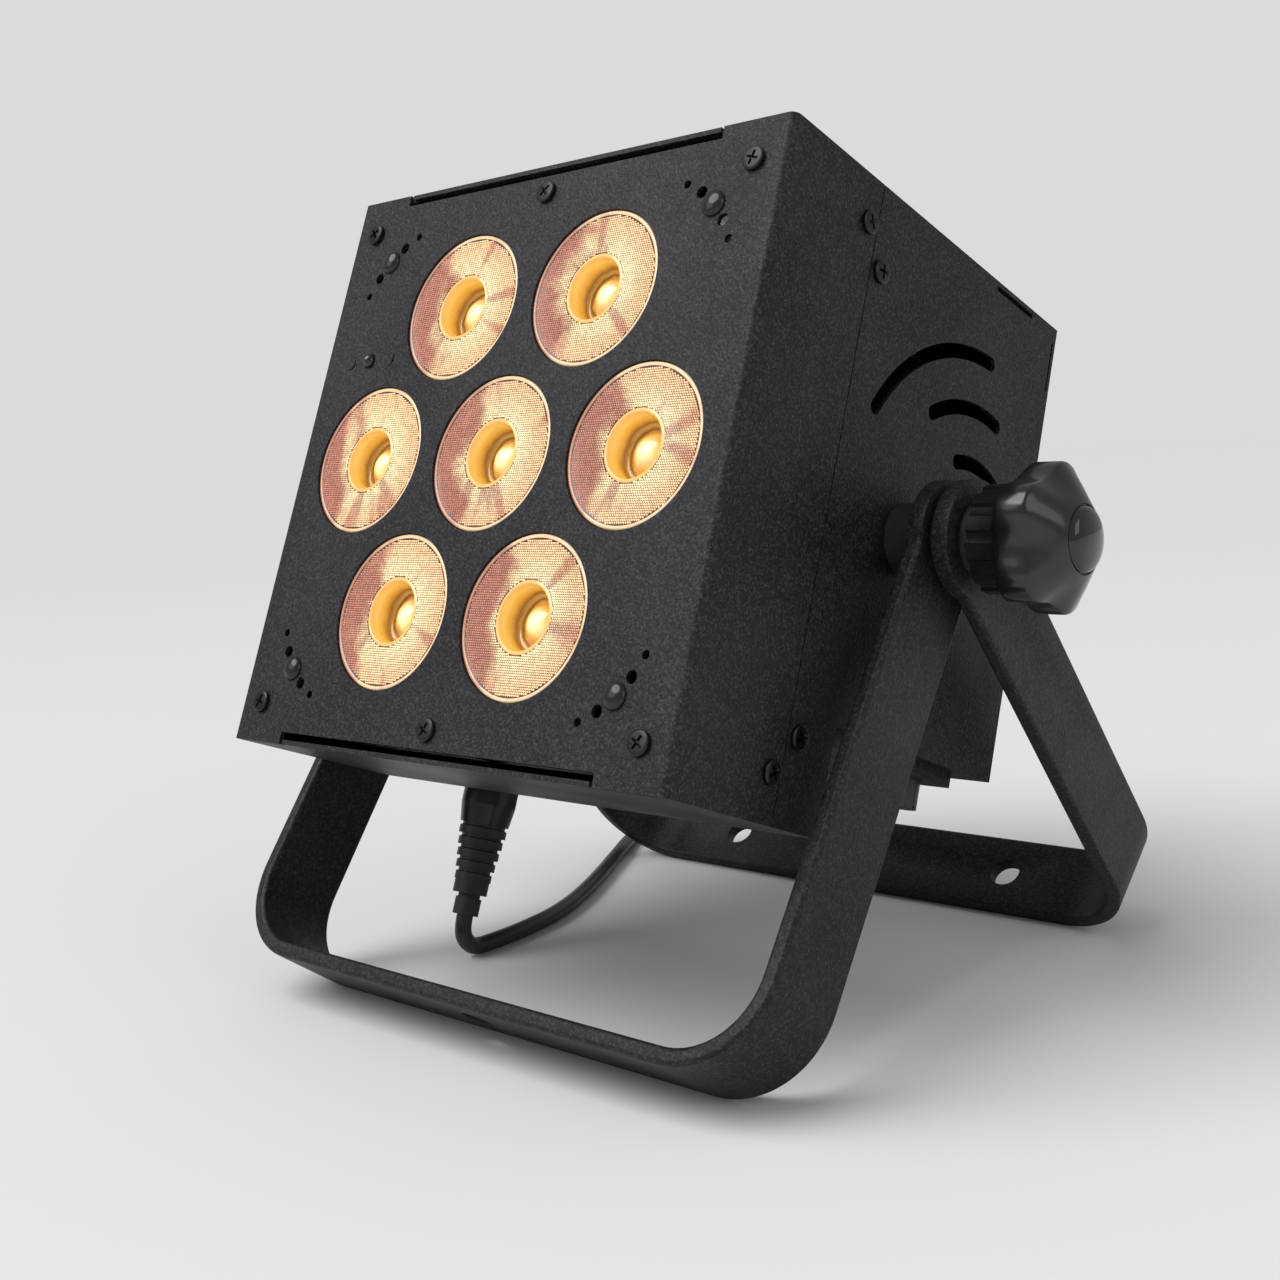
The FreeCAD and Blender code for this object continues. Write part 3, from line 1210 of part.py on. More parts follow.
def plug_profile():
    # The plug from the panel outwards as (distance, radius) pairs: shell, nut, ribbed boot, collar, sleeve.
    shell_end = number("shell_length")
    nut_end = shell_end + number("shell_taper")
    shell = [(0, number("shell_radius")), (shell_end, number("shell_radius")), (nut_end, number("shell_nut"))]
    boot = []
    ribs = int(number("boot_ribs"))
    length, first, last = number("boot_length"), number("boot_radius"), number("boot_end")
    for index in range(ribs):
        step = length / ribs
        at = nut_end + index * step
        rib = first + (last - first) * index / ribs
        groove = rib - number("boot_groove")
        boot += [(at, groove), (at + step / 4, groove), (at + step / 3, rib), (at + step, rib)]
    at = nut_end + length
    collar, neck, sleeve = number("collar_radius"), number("neck_radius"), number("sleeve_radius")
    boot += [(at, collar), (at + number("collar_length"), collar)]
    at += number("collar_length")
    boot += [(at, neck), (at + number("neck_length"), neck)]
    at += number("neck_length")
    boot += [(at, sleeve), (at + number("sleeve_length"), sleeve)]
    return shell, boot


def lathe_down(profile):
    # A solid turned about the Z axis from (distance, radius) pairs, with the distance going down.
    points = [Vector(0, 0, -profile[0][0])] + [Vector(radius, 0, -at) for at, radius in profile]
    points.append(Vector(0, 0, -profile[-1][0]))
    outline = [point for index, point in enumerate(points) if index == 0 or point.distanceToPoint(points[index - 1]) > 1e-6]
    return Part.Face(Part.makePolygon(outline + outline[:1])).revolve(Vector(), Vector(0, 0, 1), 360)


def plug_pieces():
    shell_profile, boot_profile = plug_profile()
    shell, boot = lathe_down(shell_profile), lathe_down(boot_profile)
    nose = Part.makeCylinder(number("nose_radius"), number("nose_length"))
    bore = Part.makeCylinder(number("nose_bore"), 2 * number("nose_length"), Vector(0, 0, number("wall")))
    return shell.fuse(nose).cut(bore), boot


def bend_route(points):
    # Straight runs joined by tangent arcs, each as large as its two runs allow.
    edges, radii = [], []
    start = points[0]
    for before, corner, after in zip(points, points[1:], points[2:]):
        back, ahead = before - corner, after - corner
        reach = 0.45 * min(back.Length, ahead.Length)
        half_turn = (math.pi - back.getAngle(ahead)) / 2
        radii.append(reach / math.tan(half_turn))
        back.normalize()
        ahead.normalize()
        first, last = corner + back * reach, corner + ahead * reach
        inward = (back + ahead).normalize()
        middle = corner + inward * (radii[-1] / math.cos(half_turn) - radii[-1])
        edges.append(Part.LineSegment(start, first).toShape())
        edges.append(Part.Arc(first, middle, last).toShape())
        start = last
    edges.append(Part.LineSegment(start, points[-1]).toShape())
    return Part.Wire(edges), radii


def tube_along(wire, start, direction, radius):
    section = Part.Wire(Part.Circle(start, direction, radius).toShape())
    return wire.makePipeShell([section], True, False)


def biarc(start, start_way, end, end_way):
    # Two tangent arcs between two points with given directions.
    chord = end - start
    ways = start_way + end_way
    spread = 2 * (1 - start_way.dot(end_way))
    reach = (math.sqrt(chord.dot(ways) ** 2 + spread * chord.dot(chord)) - chord.dot(ways)) / spread
    joint = (start + start_way * reach + end - end_way * reach) * 0.5

    def middle(point, way, target):
        span = target - point
        bisector = (way + span / span.Length).normalize()
        return point + bisector * (span.Length / 2 / bisector.dot(span / span.Length))
    first = Part.Arc(start, middle(start, start_way, joint), joint).toShape()
    last = Part.Arc(joint, middle(end, end_way * -1, joint), end).toShape()
    return [first, last]


def coil_point(turn, centre):
    # Spirals in, climbs one layer in the half turn in which the spiral reverses, and spirals out on top.
    pitch, turns_in = number("coil_pitch"), number("coil_turns_in")
    reverse = turns_in + 0.25
    climb = min(max((turn - turns_in) / 0.5, 0), 1)
    radius = number("coil_outer") - pitch * (reverse - abs(reverse - turn))
    angle = 2 * math.pi * turn
    rise = number("coil_layer") * (1 - math.cos(math.pi * climb)) / 2
    return centre + Vector(radius * math.cos(angle), radius * math.sin(angle), rise)


def coil_wire(start):
    # Quarter turns as pairs of arcs, with a straight start of one cord diameter and a straight tail.
    straight = 2 * number("cord_radius")
    centre = start + Vector(-number("coil_outer"), straight, 0)
    turns = number("coil_turns_in") + 0.5 + number("coil_turns_out")
    quarters = int(round(4 * turns))
    points = [coil_point(index / 4, centre) for index in range(quarters + 1)]
    near = 1e-4
    ways = [(coil_point(index / 4 + near, centre) - coil_point(index / 4 - near, centre)).normalize()
            for index in range(quarters + 1)]
    ways[0], ways[-1] = Vector(0, 1, 0), Vector(-1, 0, 0)
    edges = [Part.LineSegment(start, points[0]).toShape()]
    for index in range(quarters):
        edges += biarc(points[index], ways[index], points[index + 1], ways[index + 1])
    end = points[-1] + ways[-1] * number("coil_tail")
    edges.append(Part.LineSegment(points[-1], end).toShape())
    return Part.Wire(edges), end


def least_gap(wire):
    # The least distance between turns that aren't neighbours along the wire, less the cord's thickness.
    samples = [(order, point) for order, edge in enumerate(wire.OrderedEdges) for point in edge.discretize(9)]
    return min((p - q).Length for i, p in samples for j, q in samples if j - i > 3) - 2 * number("cord_radius")


def keep_tube(name, wire, start, way):
    radius = number("cord_radius")
    tube = tube_along(wire, start, way, radius)
    share = tube.Volume / (math.pi * radius ** 2 * wire.Length)
    print(f"{name}: length {wire.Length:.1f}, volume over section times length {share:.4f}")
    keep(name, solid(name, tube), "stand")


def make_lead(pivot_height):
    tilt = Rotation(Vector(1, 0, 0), -number("tilt_angle"))
    seat = Vector(number("-signal_in_side"), number("signal_depth - pivot_depth"), number("@pan - flange_thick"))
    for name, shape in zip(("dmx_plug_shell", "dmx_plug_boot"), plug_pieces()):
        shape.translate(seat)
        keep(name, solid(name, shape))

    # From the plug down to the floor in three equal runs, each turned as much as the others.
    plug_end = Placement(Vector(0, 0, pivot_height), tilt).multVec(seat - Vector(0, 0, plug_profile()[1][-1][0]))
    rest = number("cord_radius + floor_gap")
    turn = math.radians(90 + number("tilt_angle"))
    steps = [Vector(0, math.cos(turn * share), -math.sin(turn * share)) for share in (1, 2 / 3, 1 / 3)]
    run = (plug_end.z - rest) / -sum(step.z for step in steps)
    points = [plug_end]
    for step in steps:
        points.append(points[-1] + step * run)
    points += [points[3] + Vector(side, back, 0) for side, back in LEAD_ROUTE]
    wire, radii = bend_route(points)
    print("lead: points", [tuple(round(value, 2) for value in point) for point in points])
    print("lead: bend radii", [round(value, 1) for value in radii])
    keep_tube("dmx_cord", wire, plug_end, steps[0])

    coil, tail = coil_wire(points[-1])
    print("coil: least gap between turns", round(least_gap(coil), 2))
    keep_tube("dmx_cord_coil", coil, points[-1], Vector(0, 1, 0))
    length = plug_profile()[1][-1][0]
    for name, shape in zip(("far_plug_shell", "far_plug_boot"), plug_pieces()):
        plug = solid(name, shape)
        plug.Placement = Placement(tail - Vector(length, 0, 0), Rotation(Vector(0, 1, 0), -90))
        keep(name, plug, "stand")


def stand_geometry():
    # Height of the pivot, and the rear yoke's lean, with both crossbars resting on their inner edges.
    edge = number("strap_round")
    half = number("strap_width") / 2 - edge
    front_lean = math.radians(number("front_lean"))
    height = (number("front_drop") - edge) * math.cos(front_lean) + half * math.sin(front_lean) + edge
    drop = number("rear_drop") - edge
    reach = math.hypot(drop, half)
    rear_lean = math.atan2(half, drop) + math.acos((height - edge) / reach)
    return height, math.degrees(rear_lean)


make_front_cover()
make_top_panel()
make_bottom_panel()
make_side_panel("side_panel_left", -1)
make_side_panel("side_panel_right", 1)
make_rear_panel()
make_connector_plate()
make_mounting_rails()
for lens_index, (lens_x, lens_z) in enumerate(LENSES, start=1):
    make_lens(lens_index, lens_x, lens_z)
make_lens_holders()
make_led_board()
make_heat_sink()
make_cover_posts()
make_screws()
make_corner_rivets()
make_ir_receiver()
make_fan()
make_driver_board()
make_power_supply()
make_display()
make_signal_sockets()
make_power_inlet()
make_fuse_holder()
make_pivots()
make_yoke("front_yoke", "@front_strap", "front_drop", ["0 * wall"])
make_yoke("rear_yoke", "@rear_strap", "rear_drop", ["0 * wall", "-hang_spread", "hang_spread"])
make_knob("left", -1)
make_knob("right", 1)
pivot_height, rear_lean = stand_geometry()
make_lead(pivot_height)
doc.recompute()

# Each piece was built about the pivot; here the case is tilted back and the yokes are splayed.
TURNS = {"case": -number("tilt_angle"), "front_yoke": -number("front_lean"), "rear_yoke": rear_lean, "stand": 0}


def set_up(shift):
    for item, frame, own in nodes.values():
        base = Vector(0, shift, 0 if frame == "stand" else pivot_height)
        item.Placement = Placement(base, Rotation(Vector(1, 0, 0), TURNS[frame])).multiply(own)
    doc.recompute()


set_up(0)
LEAD_NODES = ("dmx_plug_shell", "dmx_plug_boot", "dmx_cord", "dmx_cord_coil", "far_plug_shell", "far_plug_boot")
boxes = [row[0].Shape.optimalBoundingBox(False, False) for name, row in nodes.items() if name not in LEAD_NODES]
middle_shift = -(min(one.YMin for one in boxes) + max(one.YMax for one in boxes)) / 2
set_up(middle_shift)

for item in doc.Objects:
    assert "Invalid" not in item.State and "Error" not in item.State, f"{item.Name}: {item.State}"
os.makedirs("parts", exist_ok=True)
for name, (item, frame, own) in nodes.items():
    shape = item.Shape
    assert not shape.isNull() and shape.isValid(), f"{name} has no valid shape"
    shape.exportStep(f"parts/{name}.step")
print("pivot height", round(pivot_height, 3), "rear lean", round(rear_lean, 3), "shift", round(middle_shift, 3))
print("pieces:", len(nodes), "solids:", sum(len(item.Shape.Solids) for item, frame, own in nodes.values()))
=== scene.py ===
import math

import bmesh
import bpy
from mathutils import Matrix, Vector


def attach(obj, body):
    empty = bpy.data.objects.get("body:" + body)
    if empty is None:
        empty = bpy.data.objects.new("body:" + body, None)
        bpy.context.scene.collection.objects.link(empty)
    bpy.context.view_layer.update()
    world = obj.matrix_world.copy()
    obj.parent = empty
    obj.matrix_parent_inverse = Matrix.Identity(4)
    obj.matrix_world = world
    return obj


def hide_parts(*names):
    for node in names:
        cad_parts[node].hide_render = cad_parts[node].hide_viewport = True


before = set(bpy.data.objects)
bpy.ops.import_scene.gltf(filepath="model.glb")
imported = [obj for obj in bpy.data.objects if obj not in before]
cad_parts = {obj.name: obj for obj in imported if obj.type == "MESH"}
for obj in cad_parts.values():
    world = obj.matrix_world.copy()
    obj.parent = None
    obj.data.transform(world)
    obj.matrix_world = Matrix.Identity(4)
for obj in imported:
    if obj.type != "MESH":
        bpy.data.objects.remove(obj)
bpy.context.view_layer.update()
scene = bpy.context.scene
mm = 0.001

# The lamp's case stands tilted back about the pivot, so its pieces are drawn upright and put through this.
stand = {"pivotBack": -3.537, "pivotHeight": 144.732, "tilt": -21.5}
pivotPlace = Matrix.Translation((0, stand["pivotBack"] * mm, stand["pivotHeight"] * mm))
casePlace = pivotPlace @ Matrix.Rotation(math.radians(stand["tilt"]), 4, "X")


# ---- small tools ----
def addMesh(name, verts, faces, material=None, smooth=True, place=None):
    mesh = bpy.data.meshes.new(name)
    mesh.from_pydata([Vector(v) * mm for v in verts], [], faces)
    mesh.validate()
    if place:
        mesh.transform(place)
    if smooth:
        mesh.shade_smooth()
    piece = bpy.data.objects.new(name, mesh)
    scene.collection.objects.link(piece)
    if material:
        mesh.materials.append(material)
    return piece


def settle(piece):
    # Bakes live modifiers into a plain mesh.
    bpy.context.view_layer.update()
    graph = bpy.context.evaluated_depsgraph_get()
    mesh = bpy.data.meshes.new_from_object(piece.evaluated_get(graph), depsgraph=graph)
    piece.modifiers.clear()
    piece.data = mesh
    return piece


def ringFaces(rings, steps):
    faces = []
    for r in range(rings - 1):
        for s in range(steps):
            n = (s + 1) % steps
            faces.append((r * steps + s, r * steps + n, (r + 1) * steps + n, (r + 1) * steps + s))
    return faces


def turned(name, profile, steps, material, place):
    # A closed solid of revolution about Y from (depth, radius) pairs; the first and last radius are 0.
    verts, faces = [(0, profile[0][0], 0)], []
    for depth, radius in profile[1:-1]:
        for s in range(steps):
            a = 2 * math.pi * s / steps
            verts.append((radius * math.cos(a), depth, radius * math.sin(a)))
    verts.append((0, profile[-1][0], 0))
    last = len(verts) - 1
    rings = len(profile) - 2
    for s in range(steps):
        n = (s + 1) % steps
        faces.append((0, 1 + n, 1 + s))
        faces.append((last, 1 + (rings - 1) * steps + s, 1 + (rings - 1) * steps + n))
    faces += [tuple(i + 1 for i in f) for f in ringFaces(rings, steps)]
    piece = addMesh(name, verts, faces, material, place=place)
    outward(piece)
    return piece


def domed(foot, radius, tip, angles):
    # A profile for turned(): the foot's points, then a dome over its last depth up to the tip.
    start = foot[-1][0]
    dome = [(start + (tip - start) * math.sin(a), radius * math.cos(a)) for a in map(math.radians, angles)]
    return foot + dome + [(tip, 0)]


def outward(piece):
    bm = bmesh.new()
    bm.from_mesh(piece.data)
    bmesh.ops.recalc_face_normals(bm, faces=bm.faces)
    bm.to_mesh(piece.data)
    bm.free()


def sharpen(piece, angle):
    piece.data.set_sharp_from_angle(angle=math.radians(angle))


def join(name, pieces):
    bm = bmesh.new()
    materials = []
    for piece in pieces:
        first = len(bm.faces)
        bm.from_mesh(piece.data)
        bm.faces.ensure_lookup_table()
        slots = []
        for material in piece.data.materials:
            if material not in materials:
                materials.append(material)
            slots.append(materials.index(material))
        for face in bm.faces[first:]:
            face.material_index = slots[face.material_index] if slots else 0
        bpy.data.objects.remove(piece)
    mesh = bpy.data.meshes.new(name)
    bm.to_mesh(mesh)
    bm.free()
    for material in materials:
        mesh.materials.append(material)
    whole = bpy.data.objects.new(name, mesh)
    scene.collection.objects.link(whole)
    return whole


# ---- camera ----
camera = {"at": (0.3559, -0.40994, 0.1772), "along": (-0.66338, 0.74433, -0.07674), "roll": -3.17,
          "lens": 44.88, "sensor": 36, "nearest": 0.01, "shiftX": -0.0126, "shiftY": -0.0564}
cameraData = bpy.data.cameras.new("photoCamera")
cameraData.lens, cameraData.sensor_width = camera["lens"], camera["sensor"]
cameraData.shift_x, cameraData.shift_y = camera["shiftX"], camera["shiftY"]
cameraData.clip_start = camera["nearest"]
cameraObject = bpy.data.objects.new("photoCamera", cameraData)
scene.collection.objects.link(cameraObject)
turn = Vector(camera["along"]).to_track_quat("-Z", "Y").to_matrix().to_4x4()
roll = Matrix.Rotation(math.radians(camera["roll"]), 4, "Z")
cameraObject.matrix_world = Matrix.Translation(camera["at"]) @ turn @ roll
scene.camera = cameraObject
print("camera set")


# ---- signal lead: hangs from the bay, runs off behind the lamp and is wound into a two-layer coil ----
lead = {"thickness": 6.0, "length": 1.525, "onFloor": 3.2, "shift": -3.537,
        "route": [(-67.0, -43.26, 15.82), (-67.0, -45.11, 11.12), (-67.0, -43.75, 6.25), (-67.0, -39.72, 3.2),
                  (-66.4, -31.22, 3.2), (-66.9, -15.82, 3.2), (-71.0, 7.18, 3.2), (-84.0, 36.18, 3.2),
                  (-107.2, 76.68, 3.2), (-128.0, 111.78, 3.2), (-134.5, 147.48, 3.2), (-124.5, 174.98, 3.2),
                  (-103.0, 194.98, 3.2), (-85.0, 213.98, 3.2), (-85.0, 233.98, 3.2)],
        "coilMiddle": (-126.0, 239.98), "coilOuter": 41.0, "coilPitch": 6.5, "coilLayer": 6.8, "turnsIn": 3.0,
        "turns": 6.25, "pointsPerTurn": 16, "climbTurns": 0.5, "tail": 20.0, "tailOut": 39.375,
        "smoothness": (6, 4)}


def coilPoint(turn):
    middle = lead["turnsIn"] + lead["climbTurns"] / 2
    radius = lead["coilOuter"] - lead["coilPitch"] * (middle - abs(middle - turn))
    radius /= 0.75 + 0.25 * math.cos(2 * math.pi / lead["pointsPerTurn"])  # the spline runs inside its points
    climb = min(max((turn - lead["turnsIn"]) / lead["climbTurns"], 0), 1)
    rise = lead["coilLayer"] * (1 - math.cos(math.pi * climb)) / 2
    x, y = lead["coilMiddle"]
    angle = 2 * math.pi * turn
    return (x + radius * math.cos(angle), y + radius * math.sin(angle), lead["onFloor"] + rise)


def makeLead():
    steps = round(lead["turns"] * lead["pointsPerTurn"])
    points = lead["route"] + [coilPoint(i / lead["pointsPerTurn"]) for i in range(steps + 1)]
    z = points[-1][2]
    across, along = lead["coilMiddle"]
    points += [(across - lead["tail"] * share, along + lead["tailOut"], z) for share in (0.5, 1)]
    data = bpy.data.curves.new("signalLead", "CURVE")
    data.dimensions = "3D"
    spline = data.splines.new("NURBS")
    spline.points.add(len(points) - 1)
    # The points carry half the width, and the bevel is 1, so that the curve's box is the lead's own.
    for point, (x, y, z) in zip(spline.points, points):
        point.co = (x * mm, (y + lead["shift"]) * mm, z * mm, 1)
        point.radius = lead["thickness"] / 2 * mm
    spline.order_u = 3
    spline.use_endpoint_u = True
    spline.resolution_u, data.bevel_resolution = lead["smoothness"]
    data.bevel_depth = 1.0
    data.use_fill_caps = True
    piece = bpy.data.objects.new("signalLead", data)
    scene.collection.objects.link(piece)
    return piece, points


signalLead, leadPoints = makeLead()
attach(signalLead, "housing")
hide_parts("dmx_cord", "dmx_cord_coil")
print("lead laid")


# ---- shader groups ----
def newGroup(name, inputs, outputs):
    group = bpy.data.node_groups.new(name, "ShaderNodeTree")
    for way, labels in (("INPUT", inputs), ("OUTPUT", outputs)):
        for label in labels:
            group.interface.new_socket(label, in_out=way, socket_type="NodeSocketFloat")
    return group, group.nodes.new("NodeGroupInput"), group.nodes.new("NodeGroupOutput")


def node(tree, kind, settings=None, **values):
    made = tree.nodes.new(kind)
    for key, value in (settings or {}).items():
        setattr(made, key, value)
    for key, value in values.items():
        made.inputs[key.replace("_", " ")].default_value = value
    return made


def mathNode(tree, operation, a, b):
    made = tree.nodes.new("ShaderNodeMath")
    made.operation = operation
    for index, value in enumerate((a, b)):
        if isinstance(value, (int, float)):
            made.inputs[index].default_value = value
        else:
            tree.links.new(value, made.inputs[index])
    return made.outputs[0]


powder = {"fineScale": 0.75, "fineRelief": 0.8, "brightScale": 1.5, "brightRarity": 3.0, "fineTone": 0.35,
          "driftTone": 0.3, "brightTone": 0.5, "smoother": 0.05, "rougher": 0.06}


def makePowderGrain():
    # The pebbled skin of a powder coat: pores and grains of two sizes, a slow drift of tone, and sparse bright grains
    # that are partly the coat's own speckle and partly painted sparkle.
    group, start, end = newGroup("powderGrain", ["Grain"], ["Tone", "Height"])
    link = group.links.new
    place = group.nodes.new("ShaderNodeTexCoord")
    cells = node(group, "ShaderNodeTexVoronoi", {"feature": "SMOOTH_F1"}, Smoothness=0.35)
    fine = node(group, "ShaderNodeTexNoise", Detail=4.0, Roughness=0.65)
    drift = node(group, "ShaderNodeTexNoise", Scale=18.0, Detail=2.0)
    for texture in (cells, fine, drift):
        link(place.outputs["Object"], texture.inputs["Vector"])
    link(start.outputs["Grain"], cells.inputs["Scale"])
    link(mathNode(group, "MULTIPLY", start.outputs["Grain"], powder["fineScale"]), fine.inputs["Scale"])
    height = mathNode(group, "ADD", cells.outputs["Distance"],
                      mathNode(group, "MULTIPLY", fine.outputs["Fac"], powder["fineRelief"]))
    # Sparse bright grains: partly the coat's own speckle, partly painted sparkle in place of glints off the grains.
    grains = node(group, "ShaderNodeTexVoronoi")
    link(place.outputs["Object"], grains.inputs["Vector"])
    link(mathNode(group, "MULTIPLY", start.outputs["Grain"], powder["brightScale"]), grains.inputs["Scale"])
    channels = group.nodes.new("ShaderNodeSeparateColor")
    link(grains.outputs["Color"], channels.inputs[0])
    sparse = mathNode(group, "POWER", channels.outputs[0], powder["brightRarity"])
    base = mathNode(group, "ADD", mathNode(group, "MULTIPLY", fine.outputs["Fac"], powder["fineTone"]),
                    mathNode(group, "MULTIPLY", drift.outputs["Fac"], powder["driftTone"]))
    tone = mathNode(group, "ADD", base, mathNode(group, "MULTIPLY", sparse, powder["brightTone"]))
    link(height, end.inputs["Height"])
    link(tone, end.inputs["Tone"])
    return group


def makeHandling():
    # Faint smears and dust that dull a smooth surface in patches.
    group, start, end = newGroup("handlingMarks", ["Size", "Low", "High"], ["Roughness", "Mask"])
    link = group.links.new
    place = group.nodes.new("ShaderNodeTexCoord")
    smear = node(group, "ShaderNodeTexNoise", Detail=5.0, Roughness=0.6, Distortion=0.4)
    link(place.outputs["Object"], smear.inputs["Vector"])
    link(start.outputs["Size"], smear.inputs["Scale"])
    spread = node(group, "ShaderNodeMapRange", From_Min=0.35, From_Max=0.65)
    link(smear.outputs["Fac"], spread.inputs["Value"])
    link(start.outputs["Low"], spread.inputs["To Min"])
    link(start.outputs["High"], spread.inputs["To Max"])
    link(spread.outputs["Result"], end.inputs["Roughness"])
    link(smear.outputs["Fac"], end.inputs["Mask"])
    return group


powderGrain = makePowderGrain()
handlingMarks = makeHandling()


def useGroup(tree, group, **values):
    made = tree.nodes.new("ShaderNodeGroup")
    made.node_tree = group
    for key, value in values.items():
        made.inputs[key].default_value = value
    return made


def newMaterial(name, **values):
    material = bpy.data.materials.new(name)
    material.use_nodes = True
    shader = material.node_tree.nodes["Principled BSDF"]
    for key, value in values.items():
        shader.inputs[key.replace("_", " ")].default_value = value
    return material, material.node_tree, shader


def mixColor(tree, factor, low, high):
    ramp = tree.nodes.new("ShaderNodeMix")
    ramp.data_type = "RGBA"
    ramp.inputs["A"].default_value = (*low, 1)
    ramp.inputs["B"].default_value = (*high, 1)
    tree.links.new(factor, ramp.inputs["Factor"])
    return ramp.outputs["Result"]


def powderPaint(name, dark, light, grain, bump, rough):
    material, tree, shader = newMaterial(name, Specular_IOR_Level=0.26)
    skin = useGroup(tree, powderGrain, Grain=grain)
    marks = useGroup(tree, handlingMarks, Size=25.0, Low=rough - powder["smoother"], High=rough + powder["rougher"])
    spread = node(tree, "ShaderNodeMapRange", From_Min=0.25, From_Max=0.8)
    tree.links.new(skin.outputs["Tone"], spread.inputs["Value"])
    tree.links.new(mixColor(tree, spread.outputs["Result"], dark, light), shader.inputs["Base Color"])
    tree.links.new(marks.outputs["Roughness"], shader.inputs["Roughness"])
    relief = node(tree, "ShaderNodeBump", Strength=bump, Distance=0.00012)
    tree.links.new(skin.outputs["Height"], relief.inputs["Height"])
    tree.links.new(relief.outputs["Normal"], shader.inputs["Normal"])
    return material


def smoothFinish(name, low, high, rough, grain=0.0, **values):
    # Moulded, plated or machined surface: slight change of tone, smears, and an optional fine grain.
    material, tree, shader = newMaterial(name, **values)
    marks = useGroup(tree, handlingMarks, Size=60.0, Low=rough[0], High=rough[1])
    tree.links.new(mixColor(tree, marks.outputs["Mask"], low, high), shader.inputs["Base Color"])
    tree.links.new(marks.outputs["Roughness"], shader.inputs["Roughness"])
    if grain:
        skin = useGroup(tree, powderGrain, Grain=grain)
        relief = node(tree, "ShaderNodeBump", Strength=0.25, Distance=0.00005)
        tree.links.new(skin.outputs["Height"], relief.inputs["Height"])
        tree.links.new(relief.outputs["Normal"], shader.inputs["Normal"])
    return material


casePaint = powderPaint("casePaint", (0.002, 0.002, 0.003), (0.04, 0.038, 0.046), 1100.0, 0.8, 0.5)
strapPaint = powderPaint("strapPaint", (0.003, 0.003, 0.004), (0.034, 0.033, 0.038), 1000.0, 0.55, 0.48)
blackScrew = smoothFinish("blackScrew", (0.02, 0.02, 0.022), (0.05, 0.05, 0.055), (0.25, 0.4), Metallic=0.9)
rivetGloss = smoothFinish("rivetGloss", (0.02, 0.02, 0.022), (0.045, 0.045, 0.05), (0.12, 0.22), Metallic=0.6)
zincSteel = smoothFinish("zincSteel", (0.5, 0.5, 0.48), (0.7, 0.69, 0.66), (0.22, 0.4), Metallic=1.0)
sinkMetal = smoothFinish("sinkMetal", (0.6, 0.6, 0.62), (0.78, 0.78, 0.8), (0.3, 0.45), Metallic=1.0)
blackPlastic = smoothFinish("blackPlastic", (0.018, 0.018, 0.019), (0.035, 0.035, 0.037), (0.35, 0.5), grain=1800.0)
knobPlastic = smoothFinish("knobPlastic", (0.004, 0.004, 0.005), (0.009, 0.009, 0.011), (0.16, 0.28),
                           Coat_Weight=0.25)
capGloss = smoothFinish("capGloss", (0.004, 0.004, 0.005), (0.009, 0.009, 0.011), (0.06, 0.14), Coat_Weight=0.4)
plugMetal = smoothFinish("plugMetal", (0.014, 0.014, 0.016), (0.03, 0.03, 0.034), (0.25, 0.38), Metallic=0.4)
softRubber = smoothFinish("softRubber", (0.014, 0.014, 0.015), (0.03, 0.03, 0.032), (0.42, 0.6), grain=1500.0)
cordSheath = smoothFinish("cordSheath", (0.012, 0.012, 0.013), (0.024, 0.024, 0.026), (0.3, 0.45))
keyPlastic = smoothFinish("keyPlastic", (0.09, 0.09, 0.095), (0.14, 0.14, 0.15), (0.4, 0.55))
windowGlass = smoothFinish("windowGlass", (0.01, 0.012, 0.016), (0.02, 0.022, 0.03), (0.04, 0.1), Coat_Weight=1.0)
boardMask = smoothFinish("boardMask", (0.02, 0.11, 0.05), (0.04, 0.17, 0.08), (0.25, 0.4))
emitterGlow = smoothFinish("emitterGlow", (1.0, 0.8, 0.35), (1.0, 0.86, 0.5), (0.2, 0.3),
                           Emission_Color=(1.0, 0.75, 0.3, 1), Emission_Strength=1.2)
print("finishes made")

nodeFinishes = {
    casePaint: ["front_cover", "top_panel", "bottom_panel", "side_panel_left", "side_panel_right", "rear_panel",
                "connector_plate"],
    strapPaint: ["front_yoke", "rear_yoke"],
    blackScrew: ["face_screws", "case_screws"],
    rivetGloss: ["corner_rivets"],
    zincSteel: ["mounting_rails", "cover_posts", "board_standoffs", "pivot_inserts", "knob_stud_left",
                "knob_stud_right"],
    sinkMetal: ["heat_sink"],
    blackPlastic: ["lens_holders", "ir_receiver", "fan_frame", "fan_rotor", "power_supply", "dmx_in_socket",
                   "dmx_out_socket", "dmx_out_latch", "power_inlet", "fuse_holder", "pivot_spacers",
                   "strap_washers", "knob_washer_left", "knob_washer_right"],
    knobPlastic: ["knob_left", "knob_right"],
    capGloss: ["knob_cap_left", "knob_cap_right"],
    plugMetal: ["dmx_plug_shell", "far_plug_shell"],
    softRubber: ["dmx_plug_boot", "far_plug_boot"],
    cordSheath: ["dmx_cord", "dmx_cord_coil"],
    keyPlastic: ["key_menu", "key_down", "key_up", "key_enter"],
    windowGlass: ["display_window"],
    boardMask: ["led_board", "driver_board", "display_board"],
    emitterGlow: ["led_emitters"] + [f"lens_{i}" for i in range(1, 8)],
}
for material, names in nodeFinishes.items():
    for name in names:
        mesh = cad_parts[name].data
        mesh.materials.clear()
        mesh.materials.append(material)
signalLead.data.materials.append(cordSheath)

